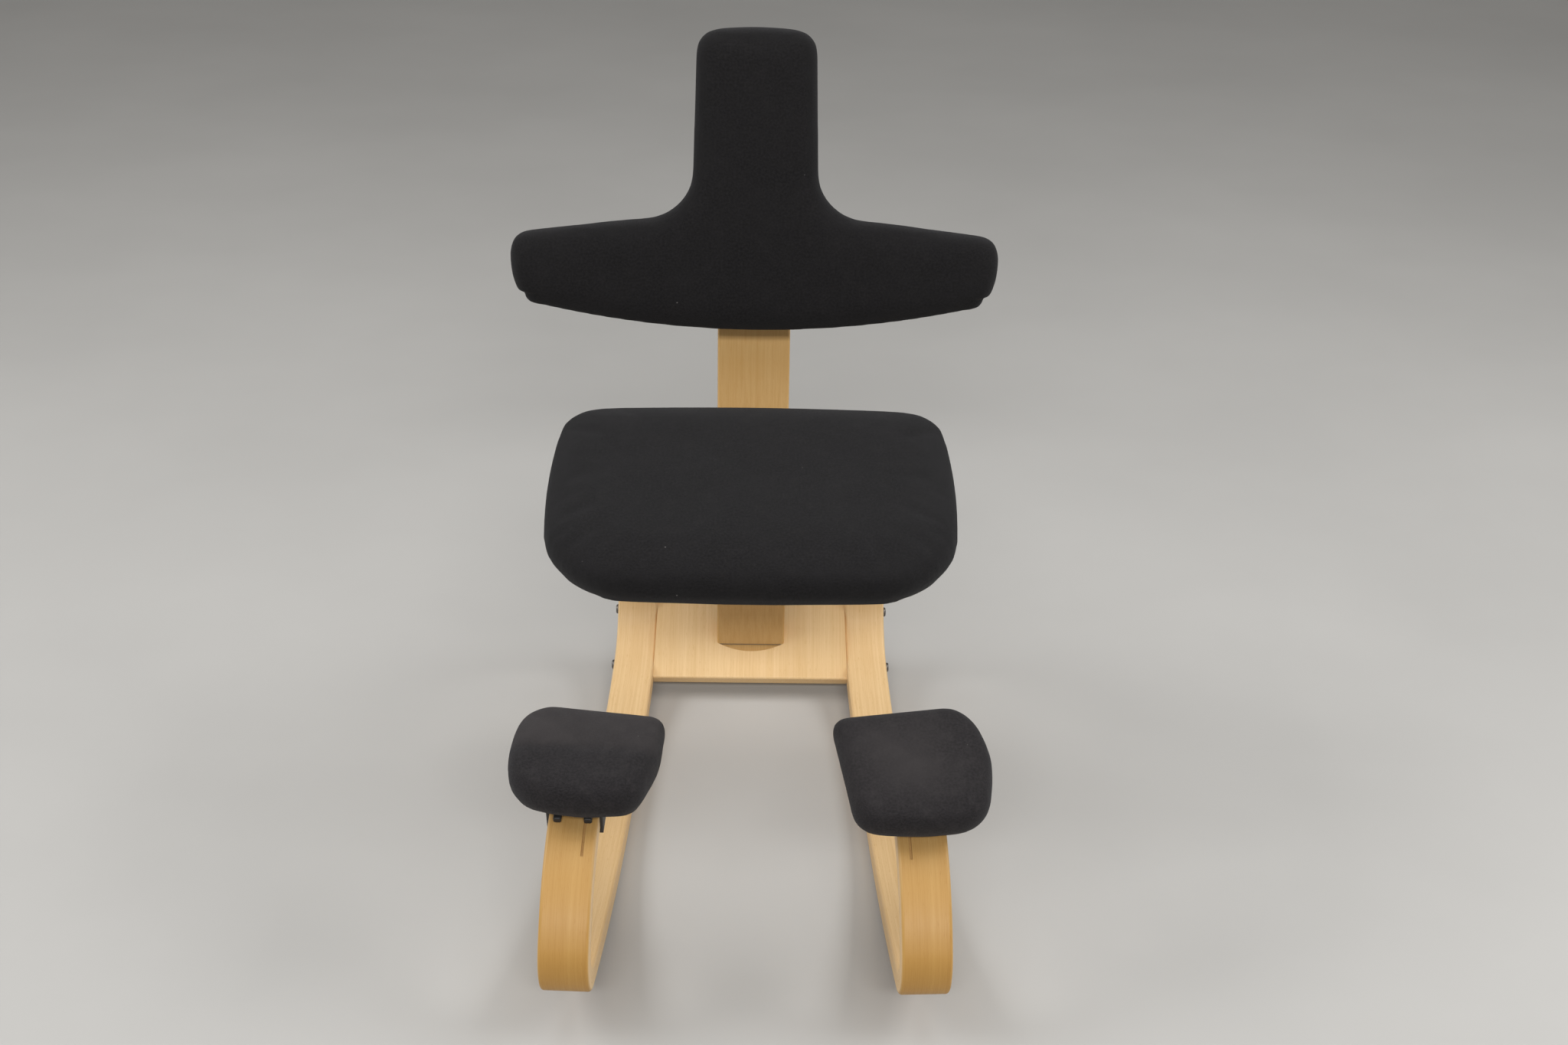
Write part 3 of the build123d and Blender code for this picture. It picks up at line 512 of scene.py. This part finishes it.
def armCentre(band):
    end = math.radians(band["frontRocker"][1] + band["nose"][1] + band["arm"][1])
    return bandLine(band)[0] + Vector((math.sin(end), math.cos(end))) * band["arm"][0]


# points along the arm's arc, at a radius and an offset across, between two angles from its crown
def armTrail(side, radius, offset, first, last, steps):
    centre = armCentre(bentBand)
    trail = []
    for index in range(steps + 1):
        angle = math.radians(first + (last - first) * index / steps)
        spot = centre + Vector((-math.sin(angle), math.cos(angle))) * radius
        trail.append(onRunner(side, spot, offset))
    return trail


def runnerFrame(side):
    across = Vector((math.cos(toe), side * math.sin(toe), 0))
    along = Vector((-side * math.sin(toe), math.cos(toe), 0))
    origin = Vector((side * (bentBand["gap"] / 2 + bentBand["width"] / 2 / math.cos(toe)), 0, 0))
    return origin, along, across


def onRunner(side, point, offset=0.0):
    origin, along, across = runnerFrame(side)
    return origin + along * point[0] + Vector((0, 0, point[1])) + across * offset


def pathCurve(name, points):
    curve = bpy.data.curves.new(name, "CURVE")
    curve.dimensions = "3D"
    spline = curve.splines.new("POLY")
    spline.points.add(len(points) - 1)
    for knot, point in zip(spline.points, points):
        knot.co = (*point, 1)
    return place(name, curve)


def newTree(name, sockets, result):
    tree = bpy.data.node_groups.new(name, "GeometryNodeTree")
    for title, kind in sockets.items():
        tree.interface.new_socket(title, in_out="INPUT", socket_type="NodeSocket" + kind)
    tree.interface.new_socket(result, in_out="OUTPUT", socket_type="NodeSocketGeometry")
    return tree, tree.nodes.new("NodeGroupInput").outputs


def endTree(tree, geometry, finish):
    real = addNode(tree, "GeometryNodeRealizeInstances", {"Geometry": geometry})
    done = addNode(tree, "GeometryNodeSetMaterial", {"Geometry": real.outputs[0], "Material": finish})
    tree.links.new(done.outputs[0], tree.nodes.new("NodeGroupOutput").inputs[0])
    return tree


def stored(tree, geometry, name, value, kind):
    values = {"Geometry": geometry, "Name": name, "Value": value}
    return addNode(tree, "GeometryNodeStoreNamedAttribute", values, data_type=kind).outputs[0]


def named(tree, name, kind):
    return addNode(tree, "GeometryNodeInputNamedAttribute", {"Name": name}, data_type=kind).outputs[0]


# a rounded section swept along a path, keeping each point's place: along, through and across the band
def sweepTree():
    sockets = dict(Path="Geometry", Width="Float", Thickness="Float", Arris="Float", Across="Vector",
                   Finish="Material")
    tree, given = newTree("bentBandSweep", sockets, "Band")
    turned = addNode(tree, "GeometryNodeSetCurveNormal", {"Curve": given["Path"], "Normal": given["Across"]},
                     mode="FREE").outputs[0]
    length = addNode(tree, "GeometryNodeSplineParameter").outputs["Length"]
    path = stored(tree, turned, "along", length, "FLOAT")
    box = addNode(tree, "GeometryNodeCurvePrimitiveQuadrilateral",
                  {"Width": given["Width"], "Height": given["Thickness"]}).outputs[0]
    rounded = addNode(tree, "GeometryNodeFilletCurve", {"Curve": box, "Radius": given["Arris"], "Count": 5},
                      mode="POLY").outputs[0]
    where = addNode(tree, "GeometryNodeInputPosition").outputs[0]
    section = stored(tree, rounded, "section", where, "FLOAT_VECTOR")
    swept = addNode(tree, "GeometryNodeCurveToMesh",
                    {"Curve": path, "Profile Curve": section, "Fill Caps": True}).outputs[0]
    parts = splitAxes(tree, named(tree, "section", "FLOAT_VECTOR"))
    spot = addNode(tree, "ShaderNodeCombineXYZ",
                   {0: named(tree, "along", "FLOAT"), 1: parts[1], 2: parts[0]}).outputs[0]
    return endTree(tree, stored(tree, swept, "bandPlace", spot, "FLOAT_VECTOR"), given["Finish"])


bandSweep = sweepTree()


def setInputs(modifier, values):
    sockets = {item.name: item.identifier for item in modifier.node_group.interface.items_tree
               if item.item_type == "SOCKET" and item.in_out == "INPUT"}
    for name, value in values.items():
        modifier[sockets[name]] = value


def sweptMesh(name, points, width, thickness, arris, across, finish):
    path = pathCurve(name + "Path", points)
    modifier = path.modifiers.new("sweep", "NODES")
    modifier.node_group = bandSweep
    setInputs(modifier, {"Width": width, "Thickness": thickness, "Arris": arris, "Across": across,
                         "Finish": finishes[finish]})
    mesh = evaluatedMesh(path)
    discard(path)
    for spare in ("along", "section"):
        if spare in mesh.attributes:
            mesh.attributes.remove(mesh.attributes[spare])
    return mesh


def planeFlat(mesh, point, normal):
    made = bmesh.new()
    made.from_mesh(mesh)
    cut = bmesh.ops.bisect_plane(made, geom=made.verts[:] + made.edges[:] + made.faces[:],
                                 plane_co=point, plane_no=normal, clear_outer=True)
    rim = [edge for edge in cut["geom_cut"] if isinstance(edge, bmesh.types.BMEdge)]
    bmesh.ops.holes_fill(made, edges=rim)
    made.to_mesh(mesh)
    made.free()


# a cut leaves its new points without a place on the band: they take it from the uncut mesh
def carryPlace(mesh, uncut):
    corners = [list(face.vertices) for face in uncut.polygons]
    points = [point.co for point in uncut.vertices]
    known = [item.vector.copy() for item in uncut.attributes["bandPlace"].data]
    nearest = BVHTree.FromPolygons(points, corners)
    for point, item in zip(mesh.vertices, mesh.attributes["bandPlace"].data):
        spot, facing, face, gap = nearest.find_nearest(point.co)
        shares = poly_3d_calc([points[corner] for corner in corners[face]], spot)
        item.vector = sum((known[corner] * share for corner, share in zip(corners[face], shares)), Vector())


# the seat run's top is planed to the seat's slope
def planeSeatRun(mesh, band, end):
    tilt = math.radians(band["seatTilt"])
    middle = end + Vector((math.cos(tilt), math.sin(tilt))) * (band["seatRun"] / 2)
    up = Vector((0, -math.sin(tilt), math.cos(tilt)))
    top = Vector((0, middle.x * math.cos(toe), middle.y)) + up * (band["thickness"] / 2 - band["planed"])
    planeFlat(mesh, top, up)


# the guide groove lies on the arm's upper face
def cutGroove(runner, band, groove, side):
    half = groove["turn"] / 2
    trail = armTrail(side, band["arm"][0] + band["thickness"] / 2, -side * groove["offset"],
                     groove["middle"] - half, groove["middle"] + half, groove["steps"])
    across = runnerFrame(side)[2]
    mesh = sweptMesh("groove", trail, groove["width"], 2 * groove["depth"], 0, across, "groove")
    uncut = runner.data.copy()
    combine(runner, place("grooveCutter", mesh), "DIFFERENCE", "TRANSFER")
    carryPlace(runner.data, uncut)
    bpy.data.meshes.remove(uncut)


def makeRunner(hand, side):
    band = bentBand
    line = bandLine(band)
    points = [onRunner(side, point) for point in line]
    across = runnerFrame(side)[2]
    mesh = sweptMesh("runner", points, band["width"], band["thickness"], band["arris"], across, "band")
    runner = place(f"runner_band_{hand}", mesh)
    planeSeatRun(runner.data, band, line[-1])
    cutGroove(runner, band, guideGroove, side)
    smooth(runner)
    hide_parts(f"runner_{hand}")
    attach(runner, "frame")


for hand, side in hands.items():
    makeRunner(hand, side)


# padded pieces: the cushion and its board under one cover, swelled by a cloth simulation
kneeLean = dict(left=9, right=23)
backTurn = math.radians(4.6)  # lean of the backrest


# a pad's own across, back and up
def padAxes(up, across=(1, 0, 0)):
    up = Vector(up).normalized()
    across = Vector(across).normalized()
    return np.array([across, up.cross(across), up])


def kneeAxes(hand):
    origin, along, across = runnerFrame(hands[hand])
    lean = math.radians(kneeLean[hand])
    return padAxes(Vector((0, 0, math.cos(lean))) - along * math.sin(lean), across)


def padPoints(mesh):
    points = np.empty(len(mesh.vertices) * 3)
    mesh.vertices.foreach_get("co", points)
    return points.reshape(-1, 3)


def padNormals(mesh):
    normals = np.empty(len(mesh.vertices) * 3)
    mesh.vertex_normals.foreach_get("vector", normals)
    return normals.reshape(-1, 3)


def padEdges(mesh):
    edges = np.empty(len(mesh.edges) * 2, dtype=np.int64)
    mesh.edges.foreach_get("vertices", edges)
    return edges.reshape(-1, 2)


def setPoints(mesh, points):
    mesh.vertices.foreach_set("co", points.ravel())
    mesh.update()


def relaxed(points, edges, rounds):
    counts = np.bincount(edges.ravel(), minlength=len(points))[:, None]
    for turn in range(rounds):
        total = np.zeros_like(points)
        np.add.at(total, edges[:, 0], points[edges[:, 1]])
        np.add.at(total, edges[:, 1], points[edges[:, 0]])
        points = points * 0.5 + total / counts * 0.5
    return points


clothRun = dict(quality=5, frames=20)
heldFacing = (0.15, 0.85)  # from fully held to free, by how far a face looks up


def swelled(piece, held, pad):
    group = piece.vertex_groups.new(name="held")
    steps = np.round(held * 10).astype(int)
    for step in range(1, 11):
        group.add(np.flatnonzero(steps == step).tolist(), step / 10, "REPLACE")
    cloth = piece.modifiers.new("cover", "CLOTH")
    cloth.settings.quality = clothRun["quality"]
    cloth.settings.vertex_group_mass = "held"
    cloth.settings.use_pressure = True
    cloth.settings.uniform_pressure_force = pad["pressure"]
    cloth.settings.effector_weights.gravity = 0
    cloth.collision_settings.use_collision = False
    cloth.point_cache.frame_start = 1
    cloth.point_cache.frame_end = clothRun["frames"]
    for number in range(1, clothRun["frames"] + 1):
        scene.frame_set(number)
    mesh = evaluatedMesh(piece)
    points = padPoints(mesh)
    bpy.data.meshes.remove(mesh)
    piece.modifiers.clear()
    piece.vertex_groups.clear()
    scene.frame_set(1)
    return points


def smoothStep(value, low, high):
    share = np.clip((value - low) / (high - low), 0, 1)
    return share * share * (3 - 2 * share)


def coverOver(name, parts, pad):
    cushion, board = (meshFrom(part + "Copy", mergedMesh(part)) for part in parts)
    piece = place(name, cushion)
    combine(piece, place("coverBoard", board), "UNION")
    remesh = piece.modifiers.new("remesh", "REMESH")
    remesh.mode = "VOXEL"
    remesh.voxel_size = pad["voxel"]
    bakeModifiers(piece)
    setPoints(piece.data, relaxed(padPoints(piece.data), padEdges(piece.data), 2))
    return piece


# the sides and bottom are held, and the swelling is capped
def fillOut(piece, axes, pad):
    mesh = piece.data
    normals = padNormals(mesh)
    held = 1 - smoothStep(normals @ axes[2], *heldFacing)
    points = padPoints(mesh) + normals * (pad["fuller"] - pad["shrink"] * (1 - held))[:, None]
    setPoints(mesh, points)
    moved = swelled(piece, held, pad) - points
    reach = np.linalg.norm(moved, axis=1, keepdims=True) + 1e-9
    points = points + moved * (pad["cap"] * np.tanh(reach / pad["cap"]) / reach)
    setPoints(mesh, relaxed(points, padEdges(mesh), pad["relax"]))


# the cloth's place runs on from the top down the sides, so that the weave isn't smeared there
def clothPlaces(local, facing):
    level = np.linalg.norm(facing[:, :2], axis=1, keepdims=True)
    outward = facing[:, :2] / (level + 1e-6)
    drop = local[:, 2].max() - local[:, 2]
    spots = np.zeros((len(local), 3))
    spots[:, :2] = local[:, :2] + outward * drop[:, None] * smoothStep(level, 0.3, 0.8)
    return spots


def makePad(name, parts, body, axes, pad):
    piece = coverOver(name, parts, pad)
    fillOut(piece, axes, pad)
    points = padPoints(piece.data)
    centre = (points.min(0) + points.max(0)) / 2
    facing = padNormals(piece.data) @ axes.T
    setPoints(piece.data, points + pad["shape"]((points - centre) @ axes.T, facing) @ axes)
    finer = piece.modifiers.new("finer", "SUBSURF")
    finer.levels = finer.render_levels = 1
    bakeModifiers(piece)
    mesh = piece.data
    mesh.shade_smooth()
    local = (padPoints(mesh) - centre) @ axes.T
    facing = padNormals(mesh) @ axes.T
    spots = clothPlaces(local, facing)
    mesh.attributes.new("clothPlace", "FLOAT_VECTOR", "POINT").data.foreach_set("vector", spots.ravel())
    mesh.attributes.new("clothWearAndLight", "FLOAT", "POINT").data.foreach_set("value", pad["wear"](local, facing))
    clad(mesh, pad["cover"])
    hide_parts(*parts)
    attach(piece, body)
    print("pad made:", name, len(mesh.polygons), "faces")


def hump(value, middle, width, height):
    return np.exp(-((value - middle) / width) ** 2) * height


# shapes: how far each point of a cover moves, in the pad's own axes
seatCorner = dict(across=(0.15, 0.245), front=(0.08, 0.19), draw=0.003)


def seatShape(local, facing):
    x, y, z = local.T
    corner = smoothStep(np.abs(x), *seatCorner["across"]) * smoothStep(-y, *seatCorner["front"])
    move = np.zeros_like(local)
    move[:, 0] = -np.sign(x) * corner * seatCorner["draw"]
    move[:, 1] = corner * seatCorner["draw"]
    return move


# the wing tips draw in downwards to a small pleat where the cover closes; humps are middle, width and height
wingTip = dict(across=(0.255, 0.292), fold=(-0.131, 0.0035, -0.0040), nub=(-0.143, 0.006, 0.0025),
               below=(0.085, 0.131), draw=0.004)


def backrestShape(local, facing):
    x, y, z = local.T
    tip = smoothStep(np.abs(x), *wingTip["across"])
    move = facing * (tip * (hump(y, *wingTip["fold"]) + hump(y, *wingTip["nub"])))[:, None]
    move[:, 0] -= np.sign(x) * tip * smoothStep(-y, *wingTip["below"]) * wingTip["draw"]
    return move


# a soft crease across the left pad, its outer side and front corner drawn in and its inner side fuller
leftKnee = dict(bend=0.02, top=(0.3, 0.8), crease=(-0.002, 0.010, -0.0016), ridge=(0.024, 0.018, 0.0012),
                outer=(0.02, 0.09), outerDraw=0.005, inner=(0.02, 0.08), innerFull=(-0.006, 0.042, 0.0072),
                cornerAcross=(-0.01, 0.08), cornerFront=(0.01, 0.07), cornerDraw=0.007,
                wornAndLit=(-0.012, 0.010), wear=0.8)


def leftKneeShape(local, facing):
    look = leftKnee
    x, y, z = local.T
    bent = y + look["bend"] * x
    rise = smoothStep(facing[:, 2], *look["top"]) * (hump(bent, *look["crease"]) + hump(bent, *look["ridge"]))
    move = facing * rise[:, None]
    move[:, 0] += smoothStep(-x, *look["outer"]) * look["outerDraw"]
    move[:, 0] += smoothStep(x, *look["inner"]) * hump(y, *look["innerFull"])
    corner = smoothStep(-x, *look["cornerAcross"]) * smoothStep(-y, *look["cornerFront"])
    move[:, 1] += corner * look["cornerDraw"]
    return move


# the right pad reaches further forward, with its outer rear corner drawn in
rightKnee = dict(cornerAcross=(0.02, 0.09), cornerRear=(0.0, 0.07), cornerDraw=0.007,
                 front=(0.01, 0.07), reach=0.004, wornAcross=(-0.01, 0.06), wornBack=(0.005, 0.055), wear=0.75)


def rightKneeShape(local, facing):
    look = rightKnee
    x, y, z = local.T
    corner = smoothStep(x, *look["cornerAcross"]) * smoothStep(y, *look["cornerRear"])
    move = np.zeros_like(local)
    move[:, 0] -= corner * look["cornerDraw"]
    move[:, 1] -= smoothStep(-y, *look["front"]) * look["reach"]
    return move


# wear: how rubbed and pale the cloth is, on the faces that look up; on the left pad it is partly painted light
# on the slope behind the crease
wornFacing = (0.2, 0.8)


def noWear(local, facing):
    return np.zeros(len(local))


# the left pad's cloth is paler behind the crease on the faces that look up: painted light on that slope, with
# rubbing
def leftKneeWearAndLight(local, facing):
    bent = local[:, 1] + leftKnee["bend"] * local[:, 0]
    return leftKnee["wear"] * smoothStep(bent, *leftKnee["wornAndLit"]) * smoothStep(facing[:, 2], *wornFacing)


def rightKneeWear(local, facing):
    patch = hump(local[:, 0], *rightKnee["wornAcross"], 1) * hump(local[:, 1], *rightKnee["wornBack"], 1)
    return rightKnee["wear"] * patch * smoothStep(facing[:, 2], *wornFacing)


padSettings = dict(
    seat=dict(voxel=0.006, fuller=0.0012, shrink=0.002, pressure=4.0, cap=0.005, relax=3, fill=0.85,
              shape=seatShape, wear=noWear, cover="wool"),
    backrest=dict(voxel=0.005, fuller=0.0012, shrink=0.0015, pressure=4.0, cap=0.003, relax=3, fill=0.9,
                  shape=backrestShape, wear=noWear, cover="wool"),
    kneeLeft=dict(voxel=0.0035, fuller=0.0008, shrink=0.001, pressure=4.0, cap=0.002, relax=2, fill=0.85,
                  shape=leftKneeShape, wear=leftKneeWearAndLight, cover="dustyAndLitWool"),
    kneeRight=dict(voxel=0.0035, fuller=0.0012, shrink=0.001, pressure=4.0, cap=0.002, relax=2, fill=0.85,
                   shape=rightKneeShape, wear=rightKneeWear, cover="dustyAndLitWool"),
)
seatAxes = padAxes((0, -math.sin(seatTurn), math.cos(seatTurn)))
backAxes = padAxes((0, -math.cos(backTurn), math.sin(backTurn)))
makePad("seat_pad", ("seat_cushion", "seat_board"), "frame", seatAxes, padSettings["seat"])
makePad("backrest_pad", ("backrest_cushion", "backrest_shell"), "backrest", backAxes, padSettings["backrest"])
for hand in hands:
    makePad(f"knee_pad_cover_{hand}", (f"knee_cushion_{hand}", f"knee_board_{hand}"), f"knee_pad_{hand}",
            kneeAxes(hand), padSettings["knee" + hand.capitalize()])


# hardware and small wooden parts with eased edges, standing for the sharp solids
bodyOf = {name: body for body, members in frame["record"]["behaviour"]["bodies"].items() for name in members}
easedParts = {
    "stem_bracket": (0.0006, "bracketSteel", "zinc_steel"),
    "backrest_carrier": (0.0008, "black", "black_steel"),
    "backrest_spacer": (0.0015, "stem", "laminated_wood"),
    "seat_rail_front": (0.0020, "rail", "laminated_wood"),
    "seat_rail_rear": (0.0020, "rail", "laminated_wood"),
    "backrest_knob": (0.0012, "plastic", "black_plastic"),
}
for hand in hands:
    easedParts[f"knee_saddle_{hand}"] = (0.0006, "black", "black_steel")
    easedParts[f"knee_hinge_{hand}"] = (0.0005, "black", "black_steel")
    easedParts[f"knee_knob_{hand}"] = (0.0010, "plastic", "black_plastic")


def makeEased(name, width, finish, slot):
    made = mergedMesh(name)
    bmesh.ops.dissolve_limit(made, angle_limit=math.radians(1), verts=made.verts[:], edges=made.edges[:])
    piece = place(name + "_eased", meshFrom(name + "Copy", made))
    easeEdges(piece, width, segments=2, angle=40)
    smooth(piece)
    clad(piece.data, finish)
    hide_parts(name)
    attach(piece, bodyOf[name])


for name, (width, finish, slot) in easedParts.items():
    makeEased(name, width, finish, slot)
print("eased parts made:", len(easedParts))

# lug noses: two rounded black ends in front of each knee saddle, lying on the arm
lugNose = dict(offset=0.017, width=0.009, height=0.008, arris=0.0025, ends=0.0016, gap=0.0006,
               first=13.0, last=19.5, steps=8)


def makeLugNoses(hand, side):
    look = lugNose
    radius = bentBand["arm"][0] + bentBand["thickness"] / 2 + look["gap"] + look["height"] / 2
    across = runnerFrame(side)[2]
    made = bmesh.new()
    for offset in (-look["offset"], look["offset"]):
        trail = armTrail(side, radius, offset, look["first"], look["last"], look["steps"])
        mesh = sweptMesh("lug", trail, look["width"], look["height"], look["arris"], across, "black")
        made.from_mesh(mesh)
        bpy.data.meshes.remove(mesh)
    piece = place(f"knee_lug_noses_{hand}", meshFrom("lugNoses", made))
    easeEdges(piece, look["ends"], segments=3, angle=60)
    smooth(piece)
    clad(piece.data, "black")
    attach(piece, f"knee_slide_{hand}")


for hand, side in hands.items():
    makeLugNoses(hand, side)
print("lug noses made:", len(hands))

# screws and bolts: a domed head with its driving recess on every one, found from the solids' own ends
fastenerLooks = dict(
    bolt=dict(recess="hex", across=0.50, depth=0.42, rise=0.53, shaft=0.50, segments=48),
    screw=dict(recess="cross", across=0.62, arm=0.13, depth=0.40, rise=0.50, shaft=0.45, segments=48),
)
headDome = ((1.0, 0.0), (1.0, 0.35), (0.94, 0.72), (0.78, 0.96))  # radius and share of the rise, upwards
recessTaper = 0.93


def recessRadius(look, angle):
    if look["recess"] == "hex":
        turned = angle % (math.pi / 3) - math.pi / 6
        return look["across"] * math.cos(math.pi / 6) / math.cos(turned)
    turned = abs((angle + math.pi / 4) % (math.pi / 2) - math.pi / 4)
    arm, reach = look["arm"], look["across"]
    if math.tan(turned) < arm / reach:
        return reach / math.cos(turned)
    return arm / math.sin(turned)


# a head of radius 1 on its shaft
def headMesh(name, look, length):
    rise, shaft = look["rise"], look["shaft"]
    angles = [2 * math.pi * index / look["segments"] for index in range(look["segments"])]
    circle = [1.0] * len(angles)
    recess = [recessRadius(look, angle) for angle in angles]
    rings = [(circle, shaft, -length), (circle, shaft, 0)]
    rings += [(circle, radius, rise * share) for radius, share in headDome]
    rings += [(recess, 1.0, rise), (recess, recessTaper, rise - look["depth"])]
    made = bmesh.new()
    rows = []
    for outline, size, height in rings:
        rows.append([made.verts.new((size * reach * math.cos(angle), size * reach * math.sin(angle), height))
                     for angle, reach in zip(angles, outline)])
    for lower, upper in zip(rows, rows[1:]):
        for index in range(len(angles)):
            after = (index + 1) % len(angles)
            made.faces.new((lower[index], lower[after], upper[after], upper[index]))
    made.faces.new(rows[0][::-1])
    made.faces.new(rows[-1])
    mesh = meshFrom(name, made)
    mesh.shade_smooth()
    mesh.set_sharp_from_angle(angle=math.radians(38))
    return mesh


# the points of each separate solid in a mesh
def islands(made):
    left = dict.fromkeys(made.verts)
    while left:
        island = []
        stack = [left.popitem()[0]]
        while stack:
            vert = stack.pop()
            island.append(vert.co[:])
            for edge in vert.link_edges:
                other = edge.other_vert(vert)
                if other in left:
                    del left[other]
                    stack.append(other)
        yield np.array(island)


# where a head sits, the way it faces, its radius and the shaft's length
def headSpot(points):
    middle = (points.min(0) + points.max(0)) / 2
    axis = np.linalg.svd(points - points.mean(0), full_matrices=False)[2][0]
    run = (points - middle) @ axis
    aside = np.linalg.norm(points - middle - run[:, None] * axis, axis=1)
    if aside[run < run.min() + 1e-4].max() > aside[run > run.max() - 1e-4].max():
        axis, run = -axis, -run
    radius = aside.max()
    neck = run[aside > radius * 0.98].min()
    return middle + axis * neck, axis, radius, neck - run.min()


def headTree():
    sockets = dict(Spots="Geometry", Head="Object", Size="Float", Finish="Material")
    tree, given = newTree("fastenerHeads", sockets, "Heads")
    turn = addNode(tree, "FunctionNodeAlignRotationToVector", {"Vector": named(tree, "axis", "FLOAT_VECTOR")},
                   axis="Z").outputs[0]
    head = addNode(tree, "GeometryNodeObjectInfo", {"Object": given["Head"]}).outputs["Geometry"]
    cast = addNode(tree, "GeometryNodeInstanceOnPoints",
                   {"Points": given["Spots"], "Instance": head, "Rotation": turn, "Scale": given["Size"]})
    return endTree(tree, cast.outputs[0], given["Finish"])


fastenerHeads = headTree()


def makeHeads(node, kind, finish):
    made = mergedMesh(node)
    spots, axes, radii, shafts = zip(*(headSpot(points) for points in islands(made)))
    made.free()
    size = float(np.mean(radii))
    length = float(np.mean(shafts)) / size
    pattern = place("headPattern", headMesh("headPattern", fastenerLooks[kind], length))
    mesh = bpy.data.meshes.new(node + "Spots")
    mesh.from_pydata([tuple(spot) for spot in spots], [], [])
    aims = np.array(axes, dtype=np.float32)
    mesh.attributes.new("axis", "FLOAT_VECTOR", "POINT").data.foreach_set("vector", aims.ravel())
    piece = place(node + "_heads", mesh)
    modifier = piece.modifiers.new("heads", "NODES")
    modifier.node_group = fastenerHeads
    setInputs(modifier, {"Head": pattern, "Size": size, "Finish": finishes[finish]})
    bakeModifiers(piece)
    if "axis" in piece.data.attributes:
        piece.data.attributes.remove(piece.data.attributes["axis"])
    discard(pattern)
    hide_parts(node)
    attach(piece, bodyOf[node])
    print("heads made:", node, len(spots), "size", round(size * 1000, 2), "mm")


makeHeads("crossboard_bolts", "bolt", "boltSteel")
makeHeads("seat_rail_bolts", "bolt", "zinc")
for node in ("stem_bracket_screws", "seat_board_screws", "backrest_screws"):
    makeHeads(node, "screw", "zinc")
for hand in hands:
    makeHeads(f"knee_hinge_screws_{hand}", "screw", "zinc")


# floor: plain and pale
floorLook = dict(color=(0.52, 0.51, 0.49), size=14.0, cloud=1.3, darkest=0.93, rough=0.6)


def makeFloor(look):
    finish, tree, shader = newFinish("paleFloor")
    where = addNode(tree, "ShaderNodeTexCoord").outputs["Object"]
    cloud = ramped(tree, noiseAt(tree, where, (look["cloud"],) * 3, 4), 0.35, 0.7)
    darker = tuple(channel * look["darkest"] for channel in look["color"])
    tree.links.new(mixedColor(tree, cloud, darker, look["color"]), shader.inputs["Base Color"])
    setSockets(shader, {"Roughness": look["rough"]})
    half = look["size"] / 2
    mesh = bpy.data.meshes.new("floor")
    corners = [(-half, -half, 0), (half, -half, 0), (half, half, 0), (-half, half, 0)]
    mesh.from_pydata(corners, [], [(0, 1, 2, 3)])
    mesh.materials.append(finish)
    place("floor", mesh)


makeFloor(floorLook)
print("floor made")
